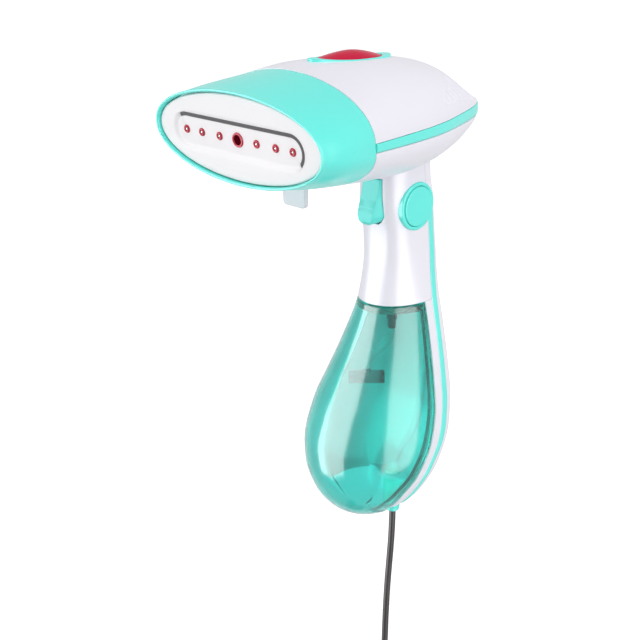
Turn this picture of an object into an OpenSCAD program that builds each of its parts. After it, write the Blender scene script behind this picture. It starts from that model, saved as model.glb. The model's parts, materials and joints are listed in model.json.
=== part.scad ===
// Handheld garment steamer: oval steam head on an upright handle, with a clip-in water tank
// and a hanging mains lead.  +X is the object's left, -Y the way the steam plate faces,
// +Z up.  The origin is in the middle of the grip.

/* [Steam head] */
// Half the width of the steam plate
plate_half_w = 61; // [58:1:63]
// Half the height of the steam plate
plate_half_h = 22.8; // [21:0.2:24]
// Length of the head from the plate to the tip behind
head_len = 195; // [185:1:205]
// Thickness of the plastic shells
wall = 2.3; // [2:0.1:2.6]
// Thickness of the steam plate
plate_t = 3.6; // [3:0.1:4]
// Radius of a small steam outlet's hole in the plate
outlet_r = 1.7; // [1.5:0.1:2]

/* [Handle and tank] */
// Height of the joint between the handle and the tank
tank_top_z = -117.5; // [-119:0.5:-116]
// Thickness of the tank's wall
tank_wall = 1.8; // [1.6:0.1:2.2]
// Radius of the round trim on each side of the handle
trim_r = 14.5; // [13.5:0.5:14.5]
// Swing of the trigger in degrees
trigger_swing = 6; // [4:1:7]
// Travel of the power button
button_travel = 1.2; // [0.8:0.1:1.4]

/* [Lead] */
// Diameter of the mains lead
cord_d = 4.4; // [4:0.1:4.6]
// Mean radius of the coiled part of the lead
coil_mean_r = 24.5; // [24:0.5:27]

/* [Hidden] */
$fn = 48;
gap = 0.15;
grip_y = 129;
grip_z = -90;

// Head profiles, each a list of [distance behind the plate, value]
tip_s = head_len;
head_w_at = [[0, 63], [10, 64], [40, 59], [66, 54.2], [94, 48.6], [118, 42.2], [140, 34.2],
             [158, 27], [174, 19.8], [186, 12.5], [192, 7], [tip_s, 0]];
head_top_at = [[0, 25], [12, 26.8], [35, 29.8], [60, 33], [85, 32.8], [110, 30.2], [134, 25.8],
               [148, 21], [162, 13], [176, 4.5], [188, -2], [tip_s, -3.4]];
head_bottom_at = [[0, -25], [10, -27], [40, -31], [70, -34], [100, -36], [125, -35], [150, -31],
                  [172, -23], [188, -14.6], [tip_s, -13]];
seam_at = [[0, 0], [40, -2.6], [tip_s, -8.4]];
band_half_at = [[0, 0.6], [40, 2.4], [tip_s, 3.6]];
slant_at = [[0, 0.1], [60, 0.1], [110, 0]];

// Handle and tank profiles, each a list of [height, value]
body_y_at = [[-258, 103], [-250, 104.5], [-238, 106.5], [-222, 108.7], [-200, 113.2], [-183, 117.2],
             [-165, 122], [-145, 126.6], [-118, 130.6], [-95, 131.2], [-75, 129.5], [-57, 126.8],
             [-42, 125.4], [-30, 125]];
body_w_at = [[-258, 1], [-256.5, 9], [-252, 19], [-246, 27], [-236, 35], [-220, 41.5], [-203, 43.5],
             [-183, 41.2], [-165, 36], [-145, 30], [-118, 22.6], [-95, 18.6], [-75, 17.2], [-57, 17.4],
             [-42, 17], [-30, 17.2]];
body_d_at = [[-258, 1], [-256.5, 10], [-252, 21], [-246, 29.5], [-236, 38], [-220, 44.8], [-203, 47.7],
             [-183, 45.6], [-165, 41], [-145, 35.3], [-118, 28.2], [-95, 24], [-75, 22], [-57, 22.6],
             [-42, 21.2], [-30, 20.8]];
body_n_at = [[-118, 2], [-95, 2.4], [-75, 2.9], [-50, 2.9], [-30, 2.4]];
lip_t_at = [[-244, -19], [-232, -13], [-221, -5.5], [-210, -1], [-200, 1.5], [-182, 3.7],
            [-165, 3.4], [-150, 2], [-135, 0.6], [-118, -2]];
strip_low_t_at = [[-244, -8], [-230, 0], [-213, 6.7], [-202, 10.3], [-190, 12.6], [-160, 13.8],
                  [-112, 12.4], [-66, 13.5]];
strip_high_t_at = [[-244, 1], [-230, 8], [-215, 14.5], [-205, 19.6], [-195, 22.8], [-160, 24],
                   [-136, 24.2], [-114, 26.5], [-66, 30]];
// How far the tank sits inside the outline where the rear shell covers it
cover_side_at = [[-256.5, 0.6], [-250, 4], [-244, 5.2], [-225, 3.9], [-118, 3.3]];
cover_rear_at = [[-250, 8], [-244, 13], [-236, 14], [-225, 10], [-130, 6], [-118, 5]];
cradle_end_z = -244;

trim_y = 125.5;
trim_z = -57.7;
strip_top_z = -60;
trim_face_x = 19;
trigger_pivot = [0, 110.5, -44];
trigger_pin_r = 1.5;
button_r = 12;
gland_y = 130;
gland_low_z = -270;
gland_neck_r = 4.15;
channel_half_len = 48;
channel_half_h = 8.6;
channel_z = -0.7;
channel_end_x = channel_half_len - channel_half_h;
outlet_xs = [-40.1, -27.9, -14, 14, 27.9, 40.1];
boiler_y0 = 56;
boiler_y1 = 118;
boiler_half_w = 34;
boiler_z0 = -16;
boiler_z1 = 4;

// The lead hangs from the gland, lies down on the surface below and runs to its coil
floor_z = -432;
lead_r = cord_d / 2;
coil_centre = [-31, 85];
coil_outer_r = coil_mean_r + 2 * cord_d;
coil_inner_r = coil_mean_r - 2 * cord_d;
coil_h = 3.2 * cord_d;
lead_points = [[0, 130, -270], [-0.1, 130, -285], [-0.7, 129.8, -300], [-1.8, 129.2, -320],
               [-2.5, 128.8, -340],
               [-2.7, 128.4, -360], [-2.5, 128, -378], [-2.1, 127, -392], [-1.5, 124.8, -405],
               [-0.9, 120.8, -416], [-0.4, 114.4, -424], [-0.1, 106.6, -428.6], [0, 99, -429.8],
               [0, 92, -429.8]];
// From the coil's top layer into the plug
tail_points = [[-9, 76, -420.6], [-9, 68, -420], [-9, 61, -419.1], [-9, 54.2, -419]];
plug_x = -9;
plug_z = -419;
plug_back_y = 36;
plug_face_y = 14;

// ---- curves and solids ----

function chord(tab, i) = (tab[i + 1][1] - tab[i][1]) / (tab[i + 1][0] - tab[i][0]);
function knot_slope(tab, i) =
    i == 0 ? chord(tab, 0)
    : i == len(tab) - 1 ? chord(tab, i - 1)
    : let (a = chord(tab, i - 1), b = chord(tab, i)) a * b <= 0 ? 0 : 2 * a * b / (a + b);
function segment_of(tab, t, i = 0) =
    i >= len(tab) - 2 || t < tab[i + 1][0] ? i : segment_of(tab, t, i + 1);
// Smooth curve through the [key, value] points of a profile
function smooth(tab, t) =
    t <= tab[0][0] ? tab[0][1]
    : t >= tab[len(tab) - 1][0] ? tab[len(tab) - 1][1]
    : let (i = segment_of(tab, t), h = tab[i + 1][0] - tab[i][0], u = (t - tab[i][0]) / h,
           m0 = knot_slope(tab, i) * h, m1 = knot_slope(tab, i + 1) * h)
      (2 * u ^ 3 - 3 * u ^ 2 + 1) * tab[i][1] + (u ^ 3 - 2 * u ^ 2 + u) * m0
      + (3 * u ^ 2 - 2 * u ^ 3) * tab[i + 1][1] + (u ^ 3 - u ^ 2) * m1;
function spow(v, p) = sign(v) * pow(abs(v), p);
function steps(a, b, n) = [for (i = [0:n]) a + (b - a) * i / n];
function back(list) = [for (i = [len(list) - 1:-1:0]) list[i]];
function joined(lists) = [for (l = lists) each l];

function volume6(p, f) = [for (i = 0, s = 0; i <= len(f); s = s + (i < len(f) ?
    cross(p[f[i][0]], p[f[i][1]]) * p[f[i][2]] : 0), i = i + 1) s][len(f)];
// A closed solid whose faces are turned to look outward
module solid(points, faces) {
    right = volume6(points, faces) < 0 ? faces : [for (f = faces) [f[0], f[2], f[1]]];
    polyhedron(points, right, convexity = 6);
}
function side_faces(rows, m, closed = false) = [
    for (k = [0:(closed ? rows - 1 : rows - 2)], i = [0:m - 1])
        let (a = k * m + i, b = k * m + (i + 1) % m,
             c = ((k + 1) % rows) * m + (i + 1) % m, d = ((k + 1) % rows) * m + i)
        each [[a, b, c], [a, c, d]]];
// Caps for a C-shaped section: the first half of its points faces the second half
function c_cap(m, start, flip) = [
    for (i = [0:m / 2 - 2])
        let (a = start + i, b = start + i + 1, c = start + m - 2 - i, d = start + m - 1 - i)
        each flip ? [[a, c, b], [a, d, c]] : [[a, b, c], [a, c, d]]];
function fan_cap(m, start, flip) = [
    for (i = [1:m - 2]) flip ? [start, start + i + 1, start + i] : [start, start + i, start + i + 1]];
// Wall with a C-shaped section, along the sections given
module c_wall(sections) {
    m = len(sections[0]);
    n = len(sections);
    solid(joined(sections),
          concat(side_faces(n, m), c_cap(m, 0, true), c_cap(m, (n - 1) * m, false)));
}
// Solid through a stack of closed sections, with flat ends
module loft(sections) {
    m = len(sections[0]);
    n = len(sections);
    solid(joined(sections),
          concat(side_faces(n, m), fan_cap(m, 0, true), fan_cap(m, (n - 1) * m, false)));
}
// Hollow ring: the last section joins the first again
module ring_loft(sections) {
    solid(joined(sections), side_faces(len(sections), len(sections[0]), true));
}
// Tells OpenSCAD to mesh what it holds before the solids are made
module meshed() {
    minkowski() children();
}
function circle_at(c, u, v, r, n) =
    [for (i = [0:n - 1]) c + r * (cos(360 * i / n) * u + sin(360 * i / n) * v)];
function unit(v) = v / norm(v);
// Round tube along a list of points that never runs along the side direction
function tube_sections(path, r, n, side = [1, 0.1, 0]) = [
    for (i = [0:len(path) - 1])
        let (d = unit(path[min(i + 1, len(path) - 1)] - path[max(i - 1, 0)]),
             u = unit(cross(side, d)), v = cross(d, u))
        circle_at(path[i], u, v, r, n)];
function spline_part(p, i, k) = let (
    a = p[max(i - 1, 0)], b = p[i], c = p[i + 1], d = p[min(i + 2, len(p) - 1)], u = k)
    0.5 * (2 * b + (c - a) * u + (2 * a - 5 * b + 4 * c - d) * u ^ 2 + (3 * b - a - 3 * c + d) * u ^ 3);
function spline(p, cuts) = concat(
    [for (i = [0:len(p) - 2], k = [0:cuts - 1]) spline_part(p, i, k / cuts)], [p[len(p) - 1]]);
module tube(path, r, n = 10, cuts = 2) {
    loft(tube_sections(spline(path, cuts), r, n));
}
module in_place() {
    translate([0, -grip_y, -grip_z]) children();
}

// ---- the head's outline ----

function head_w(s, off = 0) = max(0.3, smooth(head_w_at, s) + off);
function seam(s) = smooth(seam_at, s);
function band_half(s) = smooth(band_half_at, s);
function crown(s, off = 0) = max(0.35, smooth(head_top_at, s) + off - seam(s) - band_half(s));
function keel(s, off = 0) = max(0.35, seam(s) - band_half(s) - smooth(head_bottom_at, s) + off);
function head_y(s, z) = s - smooth(slant_at, s) * (z - seam(s));
// Point of the upper half (t 0 to 180) or the lower half (t 180 to 360) of the outline
function head_point(s, t, off = 0, lift = 0) = let (
    up = t <= 180,
    z = up ? seam(s) + band_half(s) + lift + crown(s, off) * sin(t)
           : seam(s) - band_half(s) - lift + keel(s, off) * sin(t))
    [head_w(s, off) * cos(t), head_y(s, z), z];
function head_arc(s, t0, t1, m, off = 0, lift = 0) = [for (t = steps(t0, t1, m)) head_point(s, t, off, lift)];
function head_ring(s, off, m = 22) = concat(head_arc(s, 0, 180, m, off), head_arc(s, 180.001, 360, m, off));
function inner_s(s) = 40 + (s - 40) * (tip_s - wall - 40) / (tip_s - 40);
function head_section(s, t0, t1, m) = concat(
    head_arc(s, t0, t1, m, 0, gap), back(head_arc(inner_s(s), t0, t1, m, -wall, gap)));
head_stations = [40.2, 50, 62, 75, 88, 101, 114, 126, 137, 147, 156, 164, 172, 179, 185.5, 190.5, 194];

// ---- the handle's and tank's outline ----

function body_y(z) = smooth(body_y_at, z);
function body_point(z, t, off = 0) = let (p = 2 / smooth(body_n_at, z))
    [max(0.3, smooth(body_w_at, z) + off) * spow(cos(t), p),
     body_y(z) + max(0.3, smooth(body_d_at, z) + off) * spow(sin(t), p), z];
// Underside of the head above a point of the handle
function head_floor(p) = let (s = p[1], w = head_w(s))
    seam(s) - band_half(s) - keel(s) * sqrt(max(0, 1 - (p[0] / w) ^ 2));
function under_head(p) = [p[0], p[1], head_floor(p) - gap];

// ---- head ----

module front_collar() color("turquoise") in_place() ring_loft([
    head_ring(6, -4.6), head_ring(2.8, -4.6), head_ring(2.6, -1.75), head_ring(-2.2, -1.75),
    head_ring(-3, -1.3), head_ring(-3.2, -0.6), head_ring(-2.6, 0), head_ring(0, 0.1),
    head_ring(6, 0), head_ring(14, 0), head_ring(23, 0), head_ring(32, 0), head_ring(40, 0),
    head_ring(40, -wall), head_ring(28, -wall), head_ring(16, -wall)]);

module upper_head_shell() color("white") in_place() meshed() difference() {
    c_wall([for (s = head_stations) head_section(s, 0, 180, 24)]);
    translate([0, 84.5, 20]) linear_extrude(30) polygon(lens_outline(9.2, 18.2));
}

module lower_head_shell() color("white") in_place() meshed() difference() {
    c_wall([for (s = head_stations) head_section(s, 180.001, 360, 24)]);
    translate([0, 130, -50]) cylinder(r = 12, h = 40, $fn = 32);
}

function band_side(s) = let (
    slope = head_w(min(s + 0.4, tip_s)) - head_w(s - 0.4), n = unit([1, -slope / 0.8]))
    s >= tip_s ? [[0, tip_s, 0], [0, 1, 0]] : [[head_w(s), s, 0], [n[0], n[1], 0]];
function band_section(s, flip) = let (
    q = band_side(s), h = band_half(s) - gap, z = seam(s),
    at = function (out, dz) let (p = q[0] + out * q[1]) [flip * p[0], p[1], z + dz])
    [at(0.25, -h), at(0.6, -h * 0.5), at(0.6, h * 0.5), at(0.25, h), at(-wall, h), at(-wall, -h)];
module head_trim_band() color("turquoise") in_place() loft(concat(
    [for (s = band_stations) band_section(s, 1)], [band_section(tip_s, 1)],
    [for (s = back(band_stations)) band_section(s, -1)]));
band_stations = [40.4, 52, 66, 80, 94, 107, 119, 130, 140, 150, 159, 167, 174, 180, 185.5, 189.5,
    192.5, 194.2];

module on_plate() {
    rotate([atan(0.1), 0, 0]) children();
}
// Blocks drawn flat and turned up so that their height runs back from the plate's face
module standing(y) {
    on_plate() translate([0, y, 0]) rotate([90, 0, 0]) mirror([0, 0, 1]) children();
}
function ellipse(a, b, n) = [for (i = [0:n - 1]) [a * cos(360 * i / n), b * sin(360 * i / n)]];

module steam_plate() color("gainsboro") in_place() difference() {
    standing(-1.2) linear_extrude(plate_t) polygon(ellipse(plate_half_w, plate_half_h, 96));
    standing(-2) translate([0, channel_z]) {
        linear_extrude(2.4) square([2 * channel_end_x, 2 * channel_half_h], true);
        for (x = [-1, 1]) translate([x * channel_end_x, 0]) cylinder(r = channel_half_h, h = 2.4);
    }
    for (x = outlet_xs) standing(-3) translate([x, channel_z]) cylinder(r = outlet_r, h = 8);
    standing(-3) translate([0, channel_z]) cylinder(r = 3.2, h = 8);
}

module nozzle(r_flange, r_body, r_hole) {
    difference() {
        union() {
            cylinder(r = r_flange, h = 1.2);
            cylinder(r = r_body, h = 5.5);
        }
        translate([0, 0, -1]) cylinder(r = r_hole, h = 8);
    }
}
module steam_nozzles() color("crimson") in_place() for (x = outlet_xs)
    standing(-0.9) translate([x, channel_z]) nozzle(2.25, outlet_r - 0.03, 0.8);
module centre_nozzle() color("crimson") in_place()
    standing(-0.9) translate([0, channel_z]) nozzle(4, 3.17, 1.7);

// Steam chamber behind the plate
module steam_manifold() color("silver") in_place() difference() {
    standing(2.6) linear_extrude(15) polygon(ellipse(53, 16.5, 64));
    standing(1) linear_extrude(14) polygon(ellipse(50.5, 14, 64));
    standing(10) translate([0, -1.7]) cylinder(r = 4.3, h = 12);
}
module steam_tube() color("silver") in_place() difference() {
    translate([0, 17.4, 0]) rotate([-90, 0, 0]) cylinder(r = 3.95, h = boiler_y0 - 17.5);
    translate([0, 10, 0]) rotate([-90, 0, 0]) cylinder(r = 2.6, h = boiler_y0);
}
module boiler_block() color("silver") in_place() difference() {
    translate([-boiler_half_w, boiler_y0, boiler_z0])
        cube([2 * boiler_half_w, boiler_y1 - boiler_y0, boiler_z1 - boiler_z0]);
    translate([-boiler_half_w + 6, boiler_y0 + 6, boiler_z0 + 10])
        cube([2 * boiler_half_w - 12, boiler_y1 - boiler_y0 - 12, 30]);
    for (x = [-24, 24]) translate([x, boiler_y0 - 1, boiler_z0 + 5]) rotate([-90, 0, 0])
        cylinder(r = 4.02, h = 80);
    translate([0, boiler_y0 - 1, 0]) rotate([-90, 0, 0]) cylinder(r = 2.6, h = 10);
    translate([0, boiler_y1 - 8, 0]) rotate([-90, 0, 0]) cylinder(r = 2.6, h = 20);
    for (x = [-1, 1], y = [boiler_y0 + 3, boiler_y1 - 3])
        translate([x * (boiler_half_w - 3), y, boiler_z1 - 8]) cylinder(r = 1.52, h = 20);
}
module boiler_gasket() color("orangered") in_place() difference() {
    translate([-boiler_half_w, boiler_y0, boiler_z1]) cube([2 * boiler_half_w, boiler_y1 - boiler_y0, 1]);
    translate([-boiler_half_w + 6, boiler_y0 + 6, boiler_z1 - 1])
        cube([2 * boiler_half_w - 12, boiler_y1 - boiler_y0 - 12, 4]);
    for (x = [-1, 1], y = [boiler_y0 + 3, boiler_y1 - 3])
        translate([x * (boiler_half_w - 3), y, boiler_z1 - 2]) cylinder(r = 1.6, h = 20);
}
module boiler_cover() color("silver") in_place() difference() {
    translate([-boiler_half_w, boiler_y0, boiler_z1 + 1]) cube([2 * boiler_half_w, boiler_y1 - boiler_y0, 3]);
    for (x = [-1, 1], y = [boiler_y0 + 3, boiler_y1 - 3])
        translate([x * (boiler_half_w - 3), y, boiler_z1 - 2]) cylinder(r = 1.6, h = 20);
}
module boiler_screws() color("dimgray") in_place() for (x = [-1, 1], y = [boiler_y0 + 3, boiler_y1 - 3])
    translate([x * (boiler_half_w - 3), y, boiler_z1 - 7.5]) {
        cylinder(r = 1.5, h = 11.5);
        translate([0, 0, 11.5]) cylinder(r = 2.7, h = 1.8);
    }
// Two legs of the heater lie in the block's bores and their bend shows behind it
module heating_element() color("dimgray") in_place() {
    for (x = [-24, 24]) translate([x, boiler_y0 - 5, boiler_z0 + 5]) rotate([-90, 0, 0])
        cylinder(r = 3.98, h = boiler_y1 - boiler_y0 + 5);
    translate([-24, boiler_y1 + 4, boiler_z0 + 5]) rotate([0, 90, 0]) cylinder(r = 3.98, h = 48);
    for (x = [-24, 24]) translate([x, boiler_y1, boiler_z0 + 5]) rotate([-90, 0, 0])
        cylinder(r = 3.98, h = 4);
}
module thermostat() color("black") in_place() {
    translate([12, 80, boiler_z1 + 4]) cylinder(r = 7.5, h = 5);
    for (y = [-1, 1]) translate([11, 80 + y * 5.2 - 0.5, boiler_z1 + 9]) cube([3, 1, 5]);
}
module thermal_fuse() color("white") in_place()
    translate([-16, 72, boiler_z1 + 6]) rotate([-90, 0, 0]) cylinder(r = 2, h = 14);

// ---- indicator on top of the head ----

function lens_outline(a, b) = [for (i = [0:31]) let (t = 360 * i / 32)
    [a * spow(cos(t), 1.12), b * spow(sin(t), 1.12)]];
function crown_z(x, y) = let (s = y + smooth(slant_at, y) * (30 - seam(y)))
    seam(s) + band_half(s) + crown(s) * sqrt(max(0, 1 - (x / head_w(s)) ^ 2));
function crown_ring(a, b, lift) =
    [for (q = lens_outline(a, b)) [q[0], 84.5 + q[1], crown_z(q[0], 84.5 + q[1]) + lift]];
// Bezel ring whose ends rise towards the lens
function bezel_ring(a, b, lift) =
    [for (p = crown_ring(a, b, lift)) p + [0, 0, 1.5 * pow((p[1] - 84.5) / 32, 4)]];
module indicator_bezel() color("turquoise") in_place() ring_loft([
    crown_ring(12.5, 32, 0.15), bezel_ring(12.4, 31.7, 0.4), bezel_ring(12.1, 31, 0.6),
    bezel_ring(11.4, 24.2, 0.6), crown_ring(11.4, 24.2, 0.15)]);
module indicator_lens() color("crimson") in_place() loft([
    crown_ring(8.8, 17.8, -1.4), crown_ring(8.8, 17.8, 0.2), crown_ring(11.2, 24, 0.25),
    crown_ring(11.2, 24, 0.7),
    crown_ring(9.6, 19.4, 1.9), crown_ring(7.2, 14.4, 2.8), crown_ring(4, 8, 3.3), crown_ring(1, 2, 3.4)]);
module indicator_board() color("seagreen") in_place() {
    translate([-7, 72, 22]) cube([14, 25, 1.4]);
    for (y = [78, 91]) translate([0, y, 23.4]) cylinder(r = 1.8, h = 3.4);
}

// Spring tab under the head that holds a clip-on brush
module attachment_catch() color("whitesmoke") in_place() translate([0, 41.2, -32.7]) {
    translate([-8.5, -1.5, -8.9]) cube([17, 3, 10.4]);
    for (x = [-6, 6]) translate([x, -1.5, -8.9]) rotate([-90, 0, 0]) cylinder(r = 2.5, h = 3);
    translate([-6, -1.5, -11.4]) cube([12, 3, 3]);
}

// ---- handle ----

function handle_arc(z, t0, t1, m, off) = [for (t = steps(t0, t1, m)) body_point(z, t, off)];
function handle_section(z, t0, t1, m) = concat(
    handle_arc(z, t0, t1, m, 0), back(handle_arc(z, t0, t1, m, -wall)));
function raised(section) = [for (p = section) under_head(p)];
handle_stations = [-110, -102, -94, -86, -78, -70, -60.01, -59.99, -54, -47, -41];
module side_bore() {
    translate([0, trim_y, trim_z]) rotate([0, 90, 0]) cylinder(r = trim_r + 0.1, h = 40, $fn = 40);
}
module front_handle_shell() color("white") in_place() meshed() difference() {
    c_wall(concat(
        [for (z = concat([tank_top_z + gap], handle_stations))
            handle_section(z, strip_low(z) - 0.3, -180.3 - strip_low(z) + 0.6, 40)],
        [raised(handle_section(-34, 13.2, -193.2, 40))]));
    side_bore();
    trigger_slot();
}
function strip_low(z) = smooth(strip_low_t_at, z);
function strip_high(z) = smooth(strip_high_t_at, z);
function lip(z) = z < tank_top_z ? smooth(lip_t_at, z) : strip_low(z);
// Half of the rear shell's outer line, sunk below the given height, where the trim strip lies in it
function rear_half(z, sunk_to) =
    let (a = strip_low(z), b = strip_high(z), sunk = z < sunk_to ? -1.15 : 0, start = lip(z))
    concat([[start, 0], [max(start, a) + 0.05, 0], [max(start, a) + 0.3, sunk], [(a + b) / 2, sunk],
            [b - 0.3, sunk], [b, 0]],
           [for (t = steps(b, 90, 6)) if (t > b) [t, 0]]);
function rear_line(z) = let (right = rear_half(z, strip_top_z), left = rear_half(z, 0))
    concat(right, [for (i = [len(left) - 2:-1:0]) [180 - left[i][0], left[i][1]]]);
function rear_section(z) = let (line = rear_line(z)) concat(
    [for (q = line) body_point(z, q[0], q[1])], [for (q = back(line)) body_point(z, q[0], -wall - 0.3)]);
// Floor of the cradle behind the tank, with the hole for the lead's gland
module gland_plate() color("white") in_place() {
    z = cradle_end_z + 2.6;
    translate([0, 0, cradle_end_z]) linear_extrude(2.4) difference() {
        polygon(concat(
            [for (t = steps(47, 133, 12)) let (p = body_point(cradle_end_z, t, -wall - 0.7)) [p[0], p[1]]],
            [for (t = steps(133, 47, 12)) let (p = body_point(z, t, 0.8 + tank_cover(z, t))) [p[0], p[1]]]));
        translate([0, gland_y]) circle(r = gland_neck_r + 0.05);
    }
}
rear_stations = [cradle_end_z, -238, -231, -224, -216, -208, -199, -189, -178, -166, -154, -142, -130, -121];
module rear_handle_shell() color("white") in_place() meshed() difference() {
    c_wall(concat(
        [for (z = rear_stations) rear_section(z)],
        [for (z = [tank_top_z - 0.01, tank_top_z + 0.01]) rear_section(z)],
        [for (z = handle_stations) rear_section(z)],
        [raised(rear_section(-34))]));
    side_bore();
}
function strip_section(z, flip) = let (a = strip_low(z) + 0.8, b = strip_high(z) - 0.8,
    arc = function (off) [for (t = steps(a, b, 3)) let (p = body_point(z, t, off)) [flip * p[0], p[1], p[2]]])
    concat(arc(0.35), back(arc(-0.85)));
strip_stations = [-242.5, -236, -229, -222, -214, -206, -198, -188, -178, -166, -154, -142, -130, -118,
    -106, -94,
                  -82, -75, -68, strip_top_z];
// The right strip ends at the round trim and the left one runs up to the head
module right_trim_strip() color("turquoise") in_place() meshed() difference() {
    loft([for (z = strip_stations) strip_section(z, 1)]);
    side_bore();
}
module left_trim_strip() color("turquoise") in_place()
    loft(concat([for (z = concat(strip_stations, [-54, -47, -41])) strip_section(z, -1)],
                [raised(strip_section(-34, -1))]));

module right_trim_ring() color("turquoise") in_place() translate([0, trim_y, trim_z]) rotate([0, 90, 0])
    difference() {
        translate([0, 0, 10]) cylinder(r = trim_r, h = trim_face_x - 11);
        translate([0, 0, 11.5]) cylinder(r = button_r + 0.3, h = 20);
        cylinder(r = 6.5, h = 30);
    }
module power_button() color("turquoise") in_place() translate([0, trim_y, trim_z]) rotate([0, 90, 0]) {
    translate([0, 0, 13.6]) cylinder(r = button_r, h = trim_face_x - 13.6);
    translate([0, 0, 7.2]) cylinder(r = 2.4, h = 7);
}
module helix(r, wire, height, turns) {
    n = turns * 12;
    loft(tube_sections([for (i = [0:n]) [r * cos(30 * i), r * sin(30 * i), height * i / n]],
                       wire, 6, [0, 0, 1]));
}
module power_button_spring() color("silver") in_place()
    translate([6.4, trim_y, trim_z]) rotate([0, 90, 0]) helix(4, 0.35, 6.7, 4);
module power_switch() color("black") in_place() difference() {
    translate([-6.5, 117, -63]) cube([12.4, 13, 13]);
    translate([4.5, trim_y, trim_z]) rotate([0, 90, 0]) cylinder(r = 2.6, h = 8);
}

// ---- trigger ----

// Outline of the trigger: [height, half width in front, half width behind, front face, back face]
trigger_rows = [[-39.9, 6.5, 7, 103.5, 108], [-46, 6.5, 7.2, 102.6, 108.5], [-52, 6.3, 7.6, 101, 109],
                [-57, 6.1, 8, 99.4, 109.5], [-61.4, 5.8, 8, 98.2, 110], [-64.8, 4.6, 6.4, 98, 110],
                [-66.8, 2.4, 3.4, 99, 109.6]];
function trigger_section(r) = [
    [-r[1], r[3], r[0]], [r[1], r[3], r[0]], [r[2], 105.4, r[0]],
    [r[2], r[4], r[0]], [-r[2], r[4], r[0]], [-r[2], 105.4, r[0]]];
module trigger() color("turquoise") in_place() difference() {
    union() {
        loft([for (r = trigger_rows) trigger_section(r)]);
        translate([-6.5, trigger_pivot[1], trigger_pivot[2]]) rotate([0, 90, 0]) cylinder(r = 3, h = 13);
    }
    translate([-10, trigger_pivot[1], trigger_pivot[2]]) rotate([0, 90, 0])
        cylinder(r = trigger_pin_r + 0.05, h = 20);
}
module trigger_slot() {
    loft([for (r = [[-39.4, 7.4], [-46, 7.6], [-52, 8], [-57, 8.4], [-61.4, 8.5], [-65, 7], [-68, 3.9]])
        [[-r[1], 92, r[0]], [r[1], 92, r[0]], [r[1], 116, r[0]], [-r[1], 116, r[0]]]]);
}
module trigger_pin() color("silver") in_place() translate([-9.4, trigger_pivot[1], trigger_pivot[2]])
    rotate([0, 90, 0]) cylinder(r = trigger_pin_r, h = 18.8);
module trigger_spring() color("silver") in_place()
    translate([0, 109.6, -50.5]) rotate([-90, 0, 0]) helix(2.4, 0.35, 6.9, 4);
module trigger_switch() color("black") in_place() {
    translate([-5, 116.2, -76]) cube([10, 7, 12]);
    translate([-1.5, 112.7, -68]) cube([3, 3.5, 2.4]);
}

// ---- pump and water way ----

module pump_body() color("white") in_place() translate([0, 130, 0]) difference() {
    union() {
        translate([0, 0, -110]) cylinder(r = 6.5, h = 30);
        translate([0, 0, -80]) cylinder(r = 2.4, h = 4);
    }
    translate([0, 0, -112]) cylinder(r = 1.4, h = 40);
}
module pump_coil() color("chocolate") in_place() translate([0, 130, -104]) difference() {
    cylinder(r = 10.5, h = 16);
    translate([0, 0, -1]) cylinder(r = 6.55, h = 20);
}
module pump_bracket() color("silver") in_place() translate([0, 130, 0]) {
    translate([-9, 10.7, -106]) cube([18, 1.2, 20]);
    for (z = [-87.9, -105.3]) translate([-9, 0, z]) difference() {
        cube([18, 10.7, 1.2]);
        translate([9, 0, -1]) cylinder(r = 6.7, h = 4);
    }
}
module pump_inlet() color("dimgray") in_place() translate([0, 130, 0]) difference() {
    translate([0, 0, tank_top_z + 0.5]) cylinder(r = 9, h = -110 - tank_top_z - 0.5);
    translate([0, 0, -120]) cylinder(r = 1.4, h = 20);
}
module water_hose() color("whitesmoke") in_place()
    tube([[0, 130, -76], [0, 131, -73], [-2, 137, -66], [-5, 139, -56], [-5, 137, -46], [-5, 133, -38],
          [-5, 132, -30], [-5, 131, -20], [-4, 129.5, -10], [-1, 127, -2], [0, 123, 0], [0, 116, 0]],
          2.1, 10, 2);
module terminal_block() color("ivory") in_place() difference() {
    translate([-7, 142.4, -85]) cube([14, 5, 12]);
    for (x = [-3.5, 3.5]) translate([x, 144.9, -100]) cylinder(r = 1.2, h = 30);
}
// The lead goes up the channel between the tank and the rear shell
module inner_lead() color("black") in_place() tube(concat(
    [[0, 130, -239.7], [0, 132, -235], [0, 137, -228]],
    [for (z = [-216:14:-118]) [0, body_y(z) + smooth(body_d_at, z) - wall - 2.9, z]],
    [[0, 149.4, -106], [0, 146, -96], [0, 144.9, -90], [0, 144.9, -85.3]]), 2, 10, 2);
module wiring() color("firebrick") in_place() {
    tube([[3.5, 144.9, -72.6], [3.5, 144.5, -66], [4, 142, -56], [5, 138, -46], [5, 135, -38], [5, 133, -28],
          [7, 131, -18], [16, 129, -11], [22, 129, -10.8], [24, 127.4, -11]], 0.9, 6, 2);
    tube([[-3.5, 144.9, -72.6], [-2, 144.5, -66], [0, 142, -56], [0, 138, -46], [0, 135, -38], [0, 133, -28],
          [2, 130, -14], [8, 125.5, 2], [10, 121.5, 12], [11.5, 112, 17], [12.5, 98, 20.5], [12.5, 88, 20.5],
          [12.5, 85.2, 19.2]], 0.9, 6, 2);
}
// Plate that closes the handle above the tank, cut back behind for the lead
module handle_base() color("white") in_place() translate([0, 0, tank_top_z + 0.2]) difference() {
    linear_extrude(2) polygon([for (i = [0:47]) let (p = body_point(-116, 360 * i / 48, -wall - 0.7))
        [p[0], min(p[1], 148)]]);
    translate([0, 130, -1]) cylinder(r = 9.05, h = 5);
}

// ---- tank ----

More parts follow.
